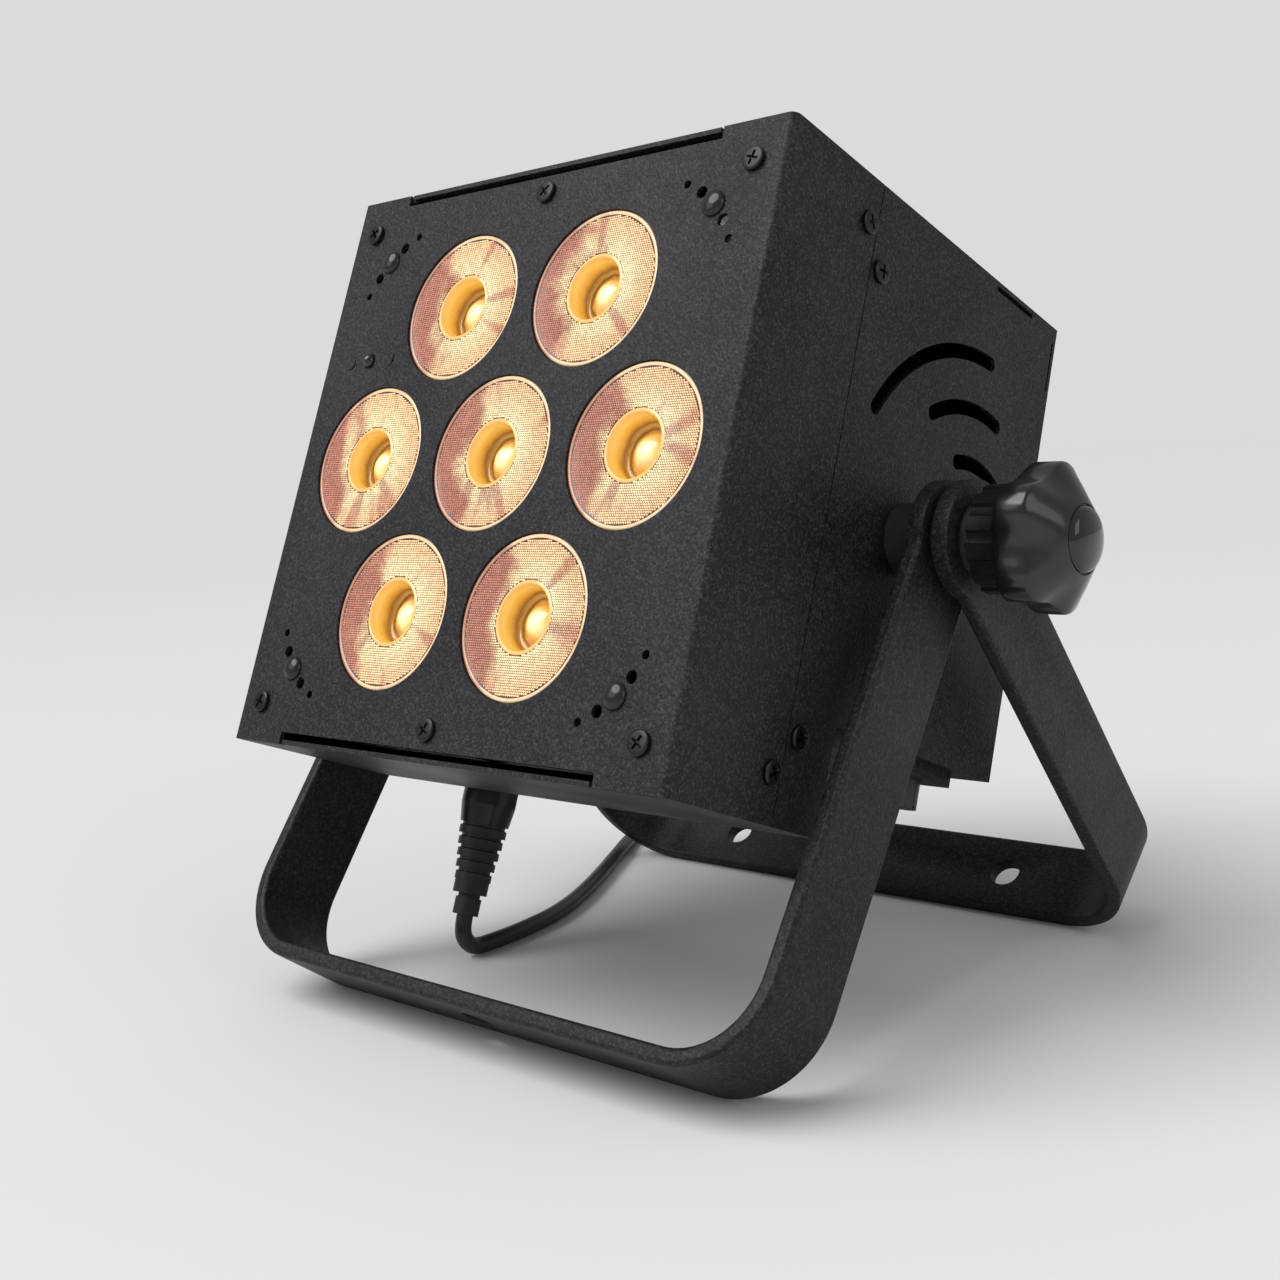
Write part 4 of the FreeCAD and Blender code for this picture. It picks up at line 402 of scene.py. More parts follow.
# The receiver's eye is glossy, and the two stud heads beside it wear the case's paint.
eye = {"side": -69.6, "reach": 4.0, "sheetBack": -84.6}
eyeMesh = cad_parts["ir_receiver"].data
eyeMesh.materials.append(capGloss)
eyeMesh.materials.append(casePaint)
for polygon in eyeMesh.polygons:
    spot = (casePlace.inverted() @ polygon.center) / mm
    if spot.y < eye["sheetBack"]:
        polygon.material_index = 1 if abs(spot.x - eye["side"]) < eye["reach"] else 2
print("frame dressed")

# ---- lenses: rim, field of small beads, and a smooth well with a domed floor ----
lens = {"steps": 96, "seatFront": -84.0, "wellMouth": 10.9, "rimInner": 23.4, "beadsFrom": 11.25, "beadsTo": 23.1,
        "beadFoot": -85.14, "beadPitch": 0.84, "beadHeight": 0.26, "beadSpread": 0.78, "seed": 7,
        "wellFloor": -77.4, "wellDepth": 8.0,
        "places": [(-58.0, 1.7), (0.0, 1.7), (58.0, 1.7), (-29.0, 51.93), (29.0, 51.93), (-29.0, -48.53),
                   (29.0, -48.53)],
        "profile": [(-80.9, 0), (-80.72, 1.7), (-80.15, 3.4), (-79.2, 4.9), (-78.2, 6.0), (-77.55, 6.62),
                    (-77.4, 7.1), (-77.45, 8.2), (-77.8, 9.0), (-78.5, 9.4), (-80.5, 9.6), (-84.3, 9.75),
                    (-85.1, 9.9), (-85.38, 10.15), (-85.4, 10.5), (-85.2, 10.8), (-85.12, 11.0), (-85.12, 23.3),
                    (-85.2, 23.5), (-85.45, 23.65), (-85.5, 24.1), (-85.4, 24.5), (-85.0, 24.7), (-82.4, 24.7),
                    (-82.4, 23.5), (-59.2, 7.0), (-59.2, 4.6), (-63.2, 4.6), (-63.2, 0)]}


def socketOf(tree, label):
    items = tree.interface.items_tree
    return next(item.identifier for item in items if item.name == label and item.in_out == "INPUT")


def newTree(name, inputs):
    tree = bpy.data.node_groups.new(name, "GeometryNodeTree")
    tree.interface.new_socket("Geometry", in_out="INPUT", socket_type="NodeSocketGeometry")
    for label, kind in inputs:
        tree.interface.new_socket(label, in_out="INPUT", socket_type="NodeSocket" + kind)
    tree.interface.new_socket("Geometry", in_out="OUTPUT", socket_type="NodeSocketGeometry")
    return tree, tree.nodes.new("NodeGroupInput"), tree.nodes.new("NodeGroupOutput")


def grow(piece, tree, **values):
    # Runs a tree on a piece and keeps its result as a plain mesh.
    modifier = piece.modifiers.new(tree.name, "NODES")
    modifier.node_group = tree
    for label, value in values.items():
        modifier[socketOf(tree, label)] = value
    return settle(piece)


# The grid's width is a share of the field's radius, the other sizes are shares of the pitch. The rows stand half a
# pitch to the side by turns, as in a honeycomb.
beads = {"gridWidth": 2.1, "row": 0.866, "stagger": 0.5, "sides": 6, "foot": 0.577, "top": 0.22}


def makeBeadTree():
    tree, start, end = newTree("beadField", [("Pitch", "Float"), ("Inner", "Float"), ("Outer", "Float"),
                                             ("Height", "Float"), ("Spread", "Float"), ("Seed", "Int"),
                                             ("Material", "Material")])
    link = tree.links.new

    def calc(operation, a, b=None):
        made = tree.nodes.new("ShaderNodeMath")
        made.operation = operation
        for index, value in enumerate((a, b)):
            if isinstance(value, (int, float)):
                made.inputs[index].default_value = value
            elif value is not None:
                link(value, made.inputs[index])
        return made.outputs[0]

    pitch, outer = start.outputs["Pitch"], start.outputs["Outer"]
    across = calc("CEIL", calc("DIVIDE", calc("MULTIPLY", outer, beads["gridWidth"]), pitch))
    rows = calc("CEIL", calc("DIVIDE", across, beads["row"]))
    grid = tree.nodes.new("GeometryNodeMeshGrid")
    link(across, grid.inputs["Vertices X"])
    link(rows, grid.inputs["Vertices Y"])
    link(calc("MULTIPLY", calc("SUBTRACT", across, 1), pitch), grid.inputs["Size X"])
    link(calc("MULTIPLY", calc("MULTIPLY", calc("SUBTRACT", rows, 1), pitch), beads["row"]), grid.inputs["Size Y"])
    index = tree.nodes.new("GeometryNodeInputIndex")
    row = calc("MODULO", index.outputs[0], rows)
    shift = calc("MULTIPLY", calc("MODULO", row, 2), calc("MULTIPLY", pitch, beads["stagger"]))
    move = tree.nodes.new("GeometryNodeSetPosition")
    offset = tree.nodes.new("ShaderNodeCombineXYZ")
    link(shift, offset.inputs["X"])
    link(grid.outputs["Mesh"], move.inputs["Geometry"])
    link(offset.outputs[0], move.inputs["Offset"])
    place = tree.nodes.new("GeometryNodeInputPosition")
    length = tree.nodes.new("ShaderNodeVectorMath")
    length.operation = "LENGTH"
    link(place.outputs[0], length.inputs[0])
    outside = calc("MAXIMUM", calc("GREATER_THAN", length.outputs["Value"], outer),
                   calc("LESS_THAN", length.outputs["Value"], start.outputs["Inner"]))
    trim = tree.nodes.new("GeometryNodeDeleteGeometry")
    link(move.outputs[0], trim.inputs["Geometry"])
    link(outside, trim.inputs["Selection"])
    bead = tree.nodes.new("GeometryNodeMeshCone")
    bead.inputs["Vertices"].default_value = beads["sides"]
    bead.fill_type = "NGON"
    foot = calc("MULTIPLY", calc("MULTIPLY", pitch, beads["foot"]), start.outputs["Spread"])
    link(foot, bead.inputs["Radius Bottom"])
    link(calc("MULTIPLY", pitch, beads["top"]), bead.inputs["Radius Top"])
    link(start.outputs["Height"], bead.inputs["Depth"])
    put = tree.nodes.new("GeometryNodeInstanceOnPoints")
    link(trim.outputs[0], put.inputs["Points"])
    link(bead.outputs["Mesh"], put.inputs["Instance"])
    tone = tree.nodes.new("FunctionNodeRandomValue")
    link(start.outputs["Seed"], tone.inputs["Seed"])
    last = put
    for label, source, kind in (("beadTone", tone.outputs[1], "FLOAT"),
                                ("lensPlace", place.outputs[0], "FLOAT_VECTOR")):
        keep = tree.nodes.new("GeometryNodeStoreNamedAttribute")
        keep.data_type, keep.domain = kind, "INSTANCE"
        keep.inputs["Name"].default_value = label
        link(last.outputs[0], keep.inputs["Geometry"])
        link(source, keep.inputs["Value"])
        last = keep
    smooth = tree.nodes.new("GeometryNodeSetShadeSmooth")
    real = tree.nodes.new("GeometryNodeRealizeInstances")
    paint = tree.nodes.new("GeometryNodeSetMaterial")
    link(last.outputs[0], real.inputs[0])
    link(real.outputs[0], smooth.inputs["Geometry"])
    link(smooth.outputs[0], paint.inputs["Geometry"])
    link(start.outputs["Material"], paint.inputs["Material"])
    link(paint.outputs[0], end.inputs["Geometry"])
    return tree


# Painted shade on the lenses: the slope and waver of the darker side, how dark it gets, and the shift of the shaded
# sectors.
paintedLensShade = {"sideSlope": -34.0, "sideDrift": 1.1, "sideMost": 0.85, "patchShift": (9.0, 9.0, 9.0)}


def lensPaintedLight(name, near, far, shade, glow, rough, sectorShade, specked=False):
    # Lens body lit from within, all painted: a painted glow, pale round the well and deeper towards the rim, and
    # painted shade, darker on one side and in a few sectors.
    material, tree, shader = newMaterial(name, Coat_Weight=0.5, Coat_Roughness=0.05, Emission_Strength=glow)
    link = tree.links.new
    place = node(tree, "ShaderNodeAttribute", {"attribute_name": "lensPlace"})
    split = node(tree, "ShaderNodeSeparateXYZ")
    link(place.outputs["Vector"], split.inputs[0])
    length = node(tree, "ShaderNodeVectorMath", {"operation": "LENGTH"})
    link(place.outputs["Vector"], length.inputs[0])
    # Painted glow: pale near the well, deeper towards the rim.
    ring = node(tree, "ShaderNodeMapRange", {"interpolation_type": "SMOOTHSTEP"}, From_Min=0.0105, From_Max=0.022)
    link(length.outputs["Value"], ring.inputs["Value"])
    color = mixColor(tree, ring.outputs["Result"], near, far)
    wide = node(tree, "ShaderNodeTexNoise", Scale=95.0, Detail=2.0, Roughness=0.5)
    body = node(tree, "ShaderNodeTexCoord")
    link(body.outputs["Object"], wide.inputs["Vector"])
    # Painted shade: darker towards one side of the lens, with a slow waver.
    side = mathNode(tree, "ADD", mathNode(tree, "MULTIPLY", split.outputs["X"], paintedLensShade["sideSlope"]),
                    mathNode(tree, "MULTIPLY", wide.outputs["Fac"], paintedLensShade["sideDrift"]))
    dark = node(tree, "ShaderNodeMapRange", {"interpolation_type": "SMOOTHSTEP"}, From_Min=0.7, From_Max=1.1)
    link(side, dark.inputs["Value"])
    # Painted shade in a few sectors round the lens.
    turn = node(tree, "ShaderNodeVectorMath", {"operation": "NORMALIZE"})
    link(place.outputs["Vector"], turn.inputs[0])
    sectors = node(tree, "ShaderNodeTexNoise", Scale=2.2, Detail=1.0)
    mixPlace = node(tree, "ShaderNodeVectorMath", {"operation": "MULTIPLY_ADD"})
    mixPlace.inputs[1].default_value = paintedLensShade["patchShift"]
    link(body.outputs["Object"], mixPlace.inputs[0])
    link(turn.outputs[0], mixPlace.inputs[2])
    link(mixPlace.outputs[0], sectors.inputs["Vector"])
    sector = node(tree, "ShaderNodeMapRange", {"interpolation_type": "SMOOTHSTEP"}, From_Min=0.56, From_Max=0.66,
                  To_Max=sectorShade)
    link(sectors.outputs["Fac"], sector.inputs["Value"])
    amount = mathNode(tree, "MAXIMUM", mathNode(tree, "MULTIPLY", dark.outputs["Result"], paintedLensShade["sideMost"]),
                      sector.outputs["Result"])
    blend = tree.nodes.new("ShaderNodeMix")
    blend.data_type = "RGBA"
    link(amount, blend.inputs["Factor"])
    link(color, blend.inputs["A"])
    blend.inputs["B"].default_value = (*shade, 1)
    result = blend.outputs["Result"]
    if specked:
        tone = node(tree, "ShaderNodeAttribute", {"attribute_name": "beadTone"})
        level = node(tree, "ShaderNodeMapRange", To_Min=0.7, To_Max=1.0)
        link(tone.outputs["Fac"], level.inputs["Value"])
        speck = tree.nodes.new("ShaderNodeMix")
        speck.data_type, speck.blend_type = "RGBA", "MULTIPLY"
        speck.inputs["Factor"].default_value = 1
        link(result, speck.inputs["A"])
        link(level.outputs["Result"], speck.inputs["B"])
        result = speck.outputs["Result"]
    link(result, shader.inputs["Base Color"])
    link(result, shader.inputs["Emission Color"])
    marks = useGroup(tree, handlingMarks, Size=70.0, Low=rough[0], High=rough[1])
    link(marks.outputs["Roughness"], shader.inputs["Roughness"])
    return material


# Painted light and shade in the well: a pale glow on the domed floor, a dark groove, and darker and lighter bands up
# the wall.
well = {"reach": 62.0, "depth": 0.4, "waver": 0.12, "shift": 0.06,
        "stops": [(0.17, (1.0, 0.92, 0.66)), (0.33, (1.0, 0.76, 0.36)), (0.41, (0.72, 0.38, 0.07)),
                  (0.46, (0.2, 0.08, 0.01)), (0.53, (0.62, 0.34, 0.05)), (0.63, (0.34, 0.15, 0.02)),
                  (0.74, (0.78, 0.46, 0.07)), (0.88, (0.92, 0.62, 0.15)), (1.0, (0.85, 0.5, 0.16))]}


def wellPaintedLight(name):
    # Golden lens body with painted light and shade: a painted glow on the pale domed floor, painted shade in the dark
    # groove round it, and a wall that pales towards the mouth.
    # The ramp runs over the distance from the lens's axis and the height above the floor, wavering a little.
    material, tree, shader = newMaterial(name, Coat_Weight=0.6, Coat_Roughness=0.04, Emission_Strength=0.3)
    link = tree.links.new
    place = node(tree, "ShaderNodeAttribute", {"attribute_name": "lensPlace"})
    length = node(tree, "ShaderNodeVectorMath", {"operation": "LENGTH"})
    link(place.outputs["Vector"], length.inputs[0])
    deep = node(tree, "ShaderNodeAttribute", {"attribute_name": "beadTone"})
    body = node(tree, "ShaderNodeTexCoord")
    streaks = node(tree, "ShaderNodeTexNoise", Scale=240.0, Detail=2.0)
    link(body.outputs["Object"], streaks.inputs["Vector"])
    along = mathNode(tree, "ADD", mathNode(tree, "MULTIPLY", length.outputs["Value"], well["reach"]),
                     mathNode(tree, "MULTIPLY", deep.outputs["Fac"], well["depth"]))
    bent = mathNode(tree, "ADD", along, mathNode(tree, "MULTIPLY", streaks.outputs["Fac"], well["waver"]))
    ramp = tree.nodes.new("ShaderNodeValToRGB")
    link(mathNode(tree, "SUBTRACT", bent, well["shift"]), ramp.inputs["Fac"])
    elements = ramp.color_ramp.elements
    while len(elements) < len(well["stops"]):
        elements.new(0.5)
    for element, (at, color) in zip(elements, well["stops"]):
        element.position, element.color = at, (*color, 1)
    link(ramp.outputs["Color"], shader.inputs["Base Color"])
    link(ramp.outputs["Color"], shader.inputs["Emission Color"])
    marks = useGroup(tree, handlingMarks, Size=70.0, Low=0.05, High=0.12)
    link(marks.outputs["Roughness"], shader.inputs["Roughness"])
    return material


# Each lens part gets a painted glow from its near to its far colour, and shade is the colour of its painted shade.
lensBeads = lensPaintedLight("lensBeads", (1.0, 0.86, 0.52), (1.0, 0.66, 0.37), (0.46, 0.13, 0.1), glow=0.8,
                       rough=(0.14, 0.26), sectorShade=0.55, specked=True)
# The flat between the beads is painted darker than the beads and glows less: painted shade between them.
lensGapShade = lensPaintedLight("lensGapShade", (0.16, 0.055, 0.012), (0.08, 0.02, 0.008), (0.015, 0.003, 0.003), glow=0.05,
                      rough=(0.3, 0.4), sectorShade=0.6)
lensRim = lensPaintedLight("lensRim", (0.86, 0.6, 0.34), (0.86, 0.6, 0.36), (0.4, 0.16, 0.1), glow=0.3,
                     rough=(0.1, 0.2), sectorShade=0.3)
lensWell = wellPaintedLight("lensWell")
beadTree = makeBeadTree()


def makeLens(index, x, z):
    piece = turned(f"lensBody{index}", lens["profile"], lens["steps"], lensWell, None)
    mesh = piece.data
    mesh.materials.append(lensGapShade)
    mesh.materials.append(lensRim)
    for polygon in mesh.polygons:
        middle = polygon.center / mm
        radius = math.hypot(middle.x, middle.z)
        if middle.y < lens["seatFront"] and radius > lens["wellMouth"]:
            polygon.material_index = 1 if radius < lens["rimInner"] else 2
    # The body's points carry their place on the lens and, as beadTone, their height above the well's floor.
    stored = mesh.attributes.new("lensPlace", "FLOAT_VECTOR", "POINT")
    for vertex, value in zip(mesh.vertices, stored.data):
        value.vector = (vertex.co.x, vertex.co.z, 0)
    toned = mesh.attributes.new("beadTone", "FLOAT", "POINT")
    for vertex, value in zip(mesh.vertices, toned.data):
        value.value = (lens["wellFloor"] - vertex.co.y / mm) / lens["wellDepth"]
    field = addMesh(f"lensField{index}", [(0, 0, 0)], [])
    grow(field, beadTree, Pitch=lens["beadPitch"] * mm, Inner=lens["beadsFrom"] * mm, Outer=lens["beadsTo"] * mm,
         Height=lens["beadHeight"] * mm, Spread=lens["beadSpread"], Seed=lens["seed"] + index, Material=lensBeads)
    # The grid lies in XY with its beads rising along Z; it is stood up to face forwards.
    upright = Matrix.Rotation(math.radians(90), 4, "X")
    field.data.transform(Matrix.Translation((0, lens["beadFoot"] * mm, 0)) @ upright)
    whole = join(f"lensUnit{index}", [piece, field])
    whole.data.transform(casePlace @ Matrix.Translation((x * mm, 0, z * mm)))
    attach(whole, "housing")
    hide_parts(f"lens_{index}")


for index, (x, z) in enumerate(lens["places"], start=1):
    makeLens(index, x, z)
print("lenses made")

# ---- screws and rivets ----
screws = {"profile": [(-0.3, 3.55), (0.8, 3.65), (1.15, 3.59), (1.4, 3.3), (1.5, 3.05)], "steps": 40, "sharp": 28,
          "crossLength": 2.2, "crossWidth": 0.45, "crossDepth": 1.1, "crossTaper": 0.7, "mostTurn": 3.14,
          "faceSide": 82.5, "faceHigh": 82.2, "faceMiddle": 85.3, "middle": 1.7, "face": -86.0, "side": 94.0,
          "sideFront": -45.0, "sideHigh": 80.9, "sideRear": -35.5, "sideLow": 69.5, "rear": 71.0, "fanSpread": 25.0,
          "fanMiddle": 13.7, "seed": 3}


def makeScrewHead():
    # Flat head with a rounded edge and a cross recess, drawn standing on Z.
    steps, top, taper = screws["steps"], screws["profile"][-1][0], screws["crossTaper"]
    length, width = screws["crossLength"], screws["crossWidth"]
    bm = bmesh.new()
    rings = []
    for z, radius in screws["profile"]:
        rings.append([bm.verts.new((radius * math.cos(a), radius * math.sin(a), z))
                      for a in (2 * math.pi * s / steps for s in range(steps))])
    for low, high in zip(rings, rings[1:]):
        for s in range(steps):
            n = (s + 1) % steps
            bm.faces.new((low[s], low[n], high[n], high[s]))
    bm.faces.new(list(reversed(rings[0])))
    corners, arm = [], [(length, -width), (length, width), (width, width)]
    while arm[0] not in corners:
        corners += arm
        arm = [(-y, x) for x, y in arm]
    count = len(corners)
    mouth = [bm.verts.new((x, y, top)) for x, y in corners]
    floor = [bm.verts.new((x * taper, y * taper, top - screws["crossDepth"])) for x, y in corners]
    for s in range(count):
        n = (s + 1) % count
        bm.faces.new((mouth[n], mouth[s], floor[s], floor[n]))
    bm.faces.new(floor)
    edges = [bm.edges.get((mouth[s], mouth[(s + 1) % count])) for s in range(count)]
    edges += [bm.edges.get((rings[-1][s], rings[-1][(s + 1) % steps])) for s in range(steps)]
    bmesh.ops.triangle_fill(bm, use_beauty=True, use_dissolve=False, edges=edges)
    bmesh.ops.recalc_face_normals(bm, faces=bm.faces)
    mesh = bpy.data.meshes.new("screwHead")
    bm.to_mesh(mesh)
    bm.free()
    mesh.transform(Matrix.Scale(mm, 4))
    mesh.shade_smooth()
    head = bpy.data.objects.new("screwHead", mesh)
    sharpen(head, screws["sharp"])
    scene.collection.objects.link(head)
    return head


def makeFastenerTree():
    # One copy of the head on each point, turned so that its Z follows the point's facing.
    tree, start, end = newTree("fasteners", [("Head", "Object"), ("Seed", "Int"), ("Material", "Material")])
    link = tree.links.new
    head = tree.nodes.new("GeometryNodeObjectInfo")
    link(start.outputs["Head"], head.inputs["Object"])
    facing = tree.nodes.new("GeometryNodeInputNamedAttribute")
    facing.data_type = "FLOAT_VECTOR"
    facing.inputs["Name"].default_value = "facing"
    align = tree.nodes.new("FunctionNodeAlignRotationToVector")
    align.axis = "Z"
    link(facing.outputs[0], align.inputs["Vector"])
    put = tree.nodes.new("GeometryNodeInstanceOnPoints")
    link(start.outputs["Geometry"], put.inputs["Points"])
    link(head.outputs["Geometry"], put.inputs["Instance"])
    link(align.outputs["Rotation"], put.inputs["Rotation"])
    spin = tree.nodes.new("GeometryNodeRotateInstances")
    turn = tree.nodes.new("FunctionNodeRandomValue")
    turn.inputs[3].default_value = screws["mostTurn"]
    link(start.outputs["Seed"], turn.inputs["Seed"])
    around = tree.nodes.new("ShaderNodeCombineXYZ")
    link(turn.outputs[1], around.inputs["Z"])
    link(put.outputs[0], spin.inputs["Instances"])
    link(around.outputs[0], spin.inputs["Rotation"])
    real = tree.nodes.new("GeometryNodeRealizeInstances")
    paint = tree.nodes.new("GeometryNodeSetMaterial")
    link(spin.outputs[0], real.inputs[0])
    link(real.outputs[0], paint.inputs["Geometry"])
    link(start.outputs["Material"], paint.inputs["Material"])
    link(paint.outputs[0], end.inputs["Geometry"])
    return tree


def fasten(name, tree, head, spots, material, seed, replaced):
    piece = addMesh(name, [place for place, way in spots], [])
    facing = piece.data.attributes.new("facing", "FLOAT_VECTOR", "POINT")
    for value, (place, way) in zip(facing.data, spots):
        value.vector = way
    grow(piece, tree, Head=head, Seed=seed, Material=material)
    piece.data.transform(casePlace)
    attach(piece, "housing")
    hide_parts(replaced)


fastenerTree = makeFastenerTree()
screwHead = makeScrewHead()
faceSpots = [((sx * screws["faceSide"], screws["face"], screws["middle"] + sz * screws["faceHigh"]), (0, -1, 0))
             for sx in (-1, 1) for sz in (-1, 1)]
faceSpots += [((0, screws["face"], screws["middle"] + sz * screws["faceMiddle"]), (0, -1, 0)) for sz in (-1, 1)]
sideSpots = ((screws["sideFront"], screws["sideHigh"]), (screws["sideRear"], screws["sideLow"]))
caseSpots = [((sx * screws["side"], y, screws["middle"] + sz * z), (sx, 0, 0))
             for sx in (-1, 1) for sz in (-1, 1) for y, z in sideSpots]
spread = screws["fanSpread"]
caseSpots += [((sx * spread, screws["rear"], screws["fanMiddle"] + sz * spread), (0, 1, 0))
              for sx in (-1, 1) for sz in (-1, 1)]
fasten("faceScrewHeads", fastenerTree, screwHead, faceSpots, blackScrew, screws["seed"], "face_screws")
fasten("caseScrewHeads", fastenerTree, screwHead, caseSpots, blackScrew, screws["seed"] + 1, "case_screws")

rivets = {"foot": [(0.4, 0), (0.4, 3.85), (0, 4.0), (-0.45, 3.95)], "domeRadius": 3.88, "tip": -2.2,
          "domeAngles": (8, 20, 34, 48, 62, 76), "steps": 40, "sharp": 50, "along": 70.57, "middle": 1.7,
          "face": -86.0, "seed": 5}


def makeRivetHead():
    # Low dome on a short rim, drawn standing on Z.
    profile = domed(rivets["foot"], rivets["domeRadius"], rivets["tip"], rivets["domeAngles"])
    head = turned("rivetHead", profile, rivets["steps"], None, Matrix.Rotation(math.radians(-90), 4, "X"))
    sharpen(head, rivets["sharp"])
    return head


rivetHead = makeRivetHead()
rivetSpots = [((sx * rivets["along"], rivets["face"], rivets["middle"] + sz * rivets["along"]), (0, -1, 0))
              for sx in (-1, 1) for sz in (-1, 1)]
fasten("rivetHeads", fastenerTree, rivetHead, rivetSpots, rivetGloss, rivets["seed"], "corner_rivets")
for template in (screwHead, rivetHead):
    bpy.data.objects.remove(template)
print("screws and rivets set")

# ---- clamping knobs ----
# Each station is a named place, the distance past it, the share of the lobed head and what is added to the radius.
# The face falls from the brow, which is the last station, to the lip, and the collar leads down to the cap's seat.
knob = {"start": 123.6, "hub": 16.0, "hubEnd": 132.3, "flutes": 12, "fluteDepth": 1.0, "fluteWidth": 0.13,
        "outer": 22.4, "valley": 18.6, "lobes": 5, "lobeFlat": 0.12, "phase": 21.5, "slopeEnd": 135.6,
        "crestEnd": 144.7, "faceEnd": 152.4, "browPast": 0.35, "browDrop": 0.6, "lip": 10.3, "steps": 240,
        "sharp": 40,
        "stations": [("start", 0, 0, -0.5), ("start", 0.4, 0, 0), ("hubEnd", -0.5, 0, 0), ("hubEnd", 0, 0, 0.1),
                     ("hubEnd", 0.9, 0.2, 0.15), ("hubEnd", 1.9, 0.52, 0.1), ("slopeEnd", -0.7, 0.86, 0),
                     ("slopeEnd", 0, 0.97, 0), ("slopeEnd", 0.8, 1, 0), ("crestEnd", -0.9, 1, 0),
                     ("crestEnd", -0.2, 1, -0.18), ("crestEnd", 0.35, 1, -0.6)],
        "face": [(0.2, 0), (0.5, 0.25), (0.8, 0.2), (1, 0)], "collar": [(0.1, 10.0), (-0.3, 9.65)]}
knobCap = {"foot": [(-152.15, 0), (-152.15, 9.48), (-152.55, 9.45), (-152.8, 9.15)], "domeRadius": 9.15,
           "tip": -155.7, "domeAngles": (10, 22, 35, 48, 60, 72, 82), "steps": 72, "sharp": 50}


def knobRadius(angle, share):
    # Blends the fluted hub (share 0) into the lobed head (share 1).
    lobe = math.cos(knob["lobes"] * (angle - math.radians(knob["phase"])))
    lobe = (1 + knob["lobeFlat"]) * lobe - knob["lobeFlat"] * lobe ** 3
    head = (knob["outer"] + knob["valley"]) / 2 + (knob["outer"] - knob["valley"]) / 2 * lobe
    near = abs((angle * knob["flutes"] / (2 * math.pi)) % 1 - 0.5) / knob["flutes"] * 2 * math.pi
    flute = max(0.0, 1 - (near / knob["fluteWidth"]) ** 2)
    hub = knob["hub"] - knob["fluteDepth"] * math.sqrt(flute)
    return hub * (1 - share) + head * share


def makeKnob(side, sign):
    steps = knob["steps"]
    verts = [(knob["start"], 0, 0)]

    def ring(x, radiusAt):
        for s in range(steps):
            angle = 2 * math.pi * s / steps
            radius = radiusAt(angle)
            verts.append((x, radius * math.cos(angle), radius * math.sin(angle)))

    for place, past, share, extra in knob["stations"]:
        ring(knob[place] + past, lambda angle: knobRadius(angle, share) + extra)
    brow = knob["crestEnd"] + knob["browPast"]
    for share, bulge in knob["face"]:
        ring(brow + (knob["faceEnd"] - brow) * share,
             lambda angle: (knobRadius(angle, 1) - knob["browDrop"]) * (1 - share) + knob["lip"] * share + bulge)
    for past, radius in knob["collar"]:
        ring(knob["faceEnd"] + past, lambda angle: radius)
    verts.append((verts[-1][0], 0, 0))
    rings = len(knob["stations"]) + len(knob["face"]) + len(knob["collar"])
    last = len(verts) - 1
    faces = [tuple(i + 1 for i in f) for f in ringFaces(rings, steps)]
    for s in range(steps):
        n = (s + 1) % steps
        faces.append((0, 1 + s, 1 + n))
        faces.append((last, 1 + (rings - 1) * steps + n, 1 + (rings - 1) * steps + s))
    grip = addMesh(f"knobGrip{side}", [(sign * x, y, z) for x, y, z in verts], faces, knobPlastic, place=casePlace)
    outward(grip)
    sharpen(grip, knob["sharp"])
    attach(grip, f"knob_{side.lower()}")
    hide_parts(f"knob_{side.lower()}")

    curve = domed(knobCap["foot"], knobCap["domeRadius"], knobCap["tip"], knobCap["domeAngles"])
    cap = turned(f"knobCap{side}", curve, knobCap["steps"], capGloss,
                 casePlace @ Matrix.Rotation(math.radians(90 * sign), 4, "Z"))
    sharpen(cap, knobCap["sharp"])
    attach(cap, f"knob_{side.lower()}")
    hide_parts(f"knob_cap_{side.lower()}")


for side, sign in (("Left", -1), ("Right", 1)):
    makeKnob(side, sign)
print("knobs made")

# ---- yokes, with the rounded arrises of folded and tumbled strap ----
strap = {"edge": 0.5, "sharp": 30.0, "weld": 0.01, "flat": 0.5, "segments": 2, "roundness": 0.6, "shadeSharp": 32}


def softEdged(source, name, material, body):
    bm = bmesh.new()
    bm.from_mesh(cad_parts[source].data)
    bmesh.ops.remove_doubles(bm, verts=bm.verts, dist=strap["weld"] * mm)
    bmesh.ops.dissolve_limit(bm, angle_limit=math.radians(strap["flat"]), verts=bm.verts, edges=bm.edges)
    edges = [edge for edge in bm.edges if len(edge.link_faces) == 2
             and edge.calc_face_angle(0) > math.radians(strap["sharp"])]
    bmesh.ops.bevel(bm, geom=edges, offset=strap["edge"] * mm, segments=strap["segments"], profile=strap["roundness"],
                    affect="EDGES", clamp_overlap=True)
    mesh = bpy.data.meshes.new(name)
    bm.to_mesh(mesh)
    bm.free()
    mesh.materials.append(material)
    mesh.shade_smooth()
    piece = bpy.data.objects.new(name, mesh)
    sharpen(piece, strap["shadeSharp"])
    scene.collection.objects.link(piece)
    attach(piece, body)
    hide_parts(source)


softEdged("front_yoke", "frontYokeStrap", strapPaint, "front_yoke")
softEdged("rear_yoke", "rearYokeStrap", strapPaint, "rear_yoke")
print("yokes finished")


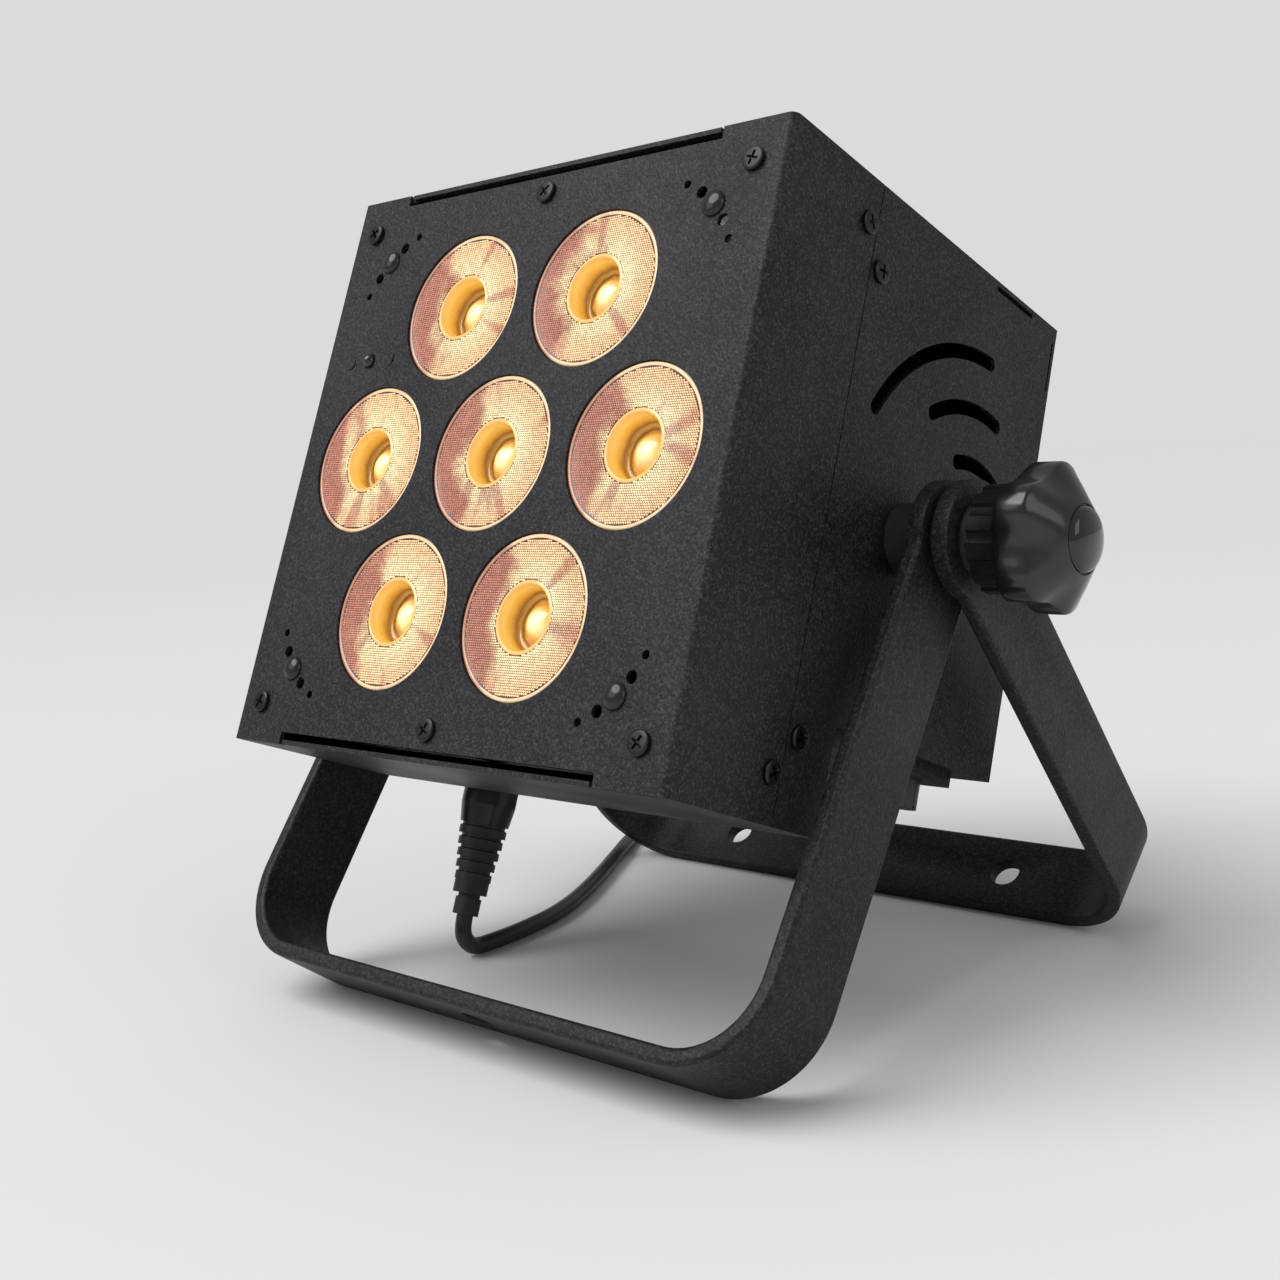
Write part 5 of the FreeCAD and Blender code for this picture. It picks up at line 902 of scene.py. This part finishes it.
# ---- floor, background and lamps ----
studio = {"floor": 16.0, "floorSteps": 96, "floorTone": (0.8, 0.8, 0.81), "room": (0.4, 0.4, 0.41),
          "floorShade": 0.985, "backdrop": (0.705, 0.708, 0.72), "sunPower": 2.0, "sunSpread": 45,
          "sunAlong": (0.35, 0.6, -1.0), "aim": (0, 0, 0.14)}
floorFinish, tree, shader = newMaterial("floorFinish", Roughness=0.7, Specular_IOR_Level=0.2)
floorPlace = tree.nodes.new("ShaderNodeTexCoord")
floorNoise = node(tree, "ShaderNodeTexNoise", Scale=3.0, Detail=3.0)
tree.links.new(floorPlace.outputs["Object"], floorNoise.inputs["Vector"])
low = tuple(v * studio["floorShade"] for v in studio["floorTone"])
tree.links.new(mixColor(tree, floorNoise.outputs["Fac"], low, studio["floorTone"]), shader.inputs["Base Color"])
edge = [2 * math.pi * step / studio["floorSteps"] for step in range(studio["floorSteps"])]
floor = addMesh("floor", [(studio["floor"] / mm * math.cos(a), studio["floor"] / mm * math.sin(a), 0) for a in edge],
                [tuple(range(studio["floorSteps"]))], floorFinish, smooth=False)
scene.view_settings.view_transform = "Standard"

world = bpy.data.worlds.new("studio")
world.use_nodes = True
scene.world = world
tree = world.node_tree
background = tree.nodes["Background"]
path = tree.nodes.new("ShaderNodeLightPath")
shown = mathNode(tree, "MAXIMUM", path.outputs["Is Camera Ray"], path.outputs["Is Transmission Ray"])
tree.links.new(mixColor(tree, shown, studio["room"], studio["backdrop"]), background.inputs["Color"])

sun = bpy.data.lights.new("wideSun", "SUN")
sun.energy, sun.angle = studio["sunPower"], math.radians(studio["sunSpread"])
sunObject = bpy.data.objects.new("wideSun", sun)
scene.collection.objects.link(sunObject)
sunObject.matrix_world = Vector(studio["sunAlong"]).to_track_quat("-Z", "Y").to_matrix().to_4x4()
softboxes = {
    "keySoftbox": ((-0.75, -1.15, 0.95), 0.9, 3.0, (1.0, 0.98, 0.96)),
    "sideSoftbox": ((1.25, -0.15, 0.75), 0.8, 2.4, (0.97, 0.98, 1.0)),
}
for name, (at, width, power, tint) in softboxes.items():
    lamp = bpy.data.lights.new(name, "AREA")
    lamp.size, lamp.energy, lamp.color = width, power, tint
    lampObject = bpy.data.objects.new(name, lamp)
    scene.collection.objects.link(lampObject)
    aim = Vector(studio["aim"]) - Vector(at)
    lampObject.matrix_world = Matrix.Translation(at) @ aim.to_track_quat("-Z", "Y").to_matrix().to_4x4()
print("studio lit")
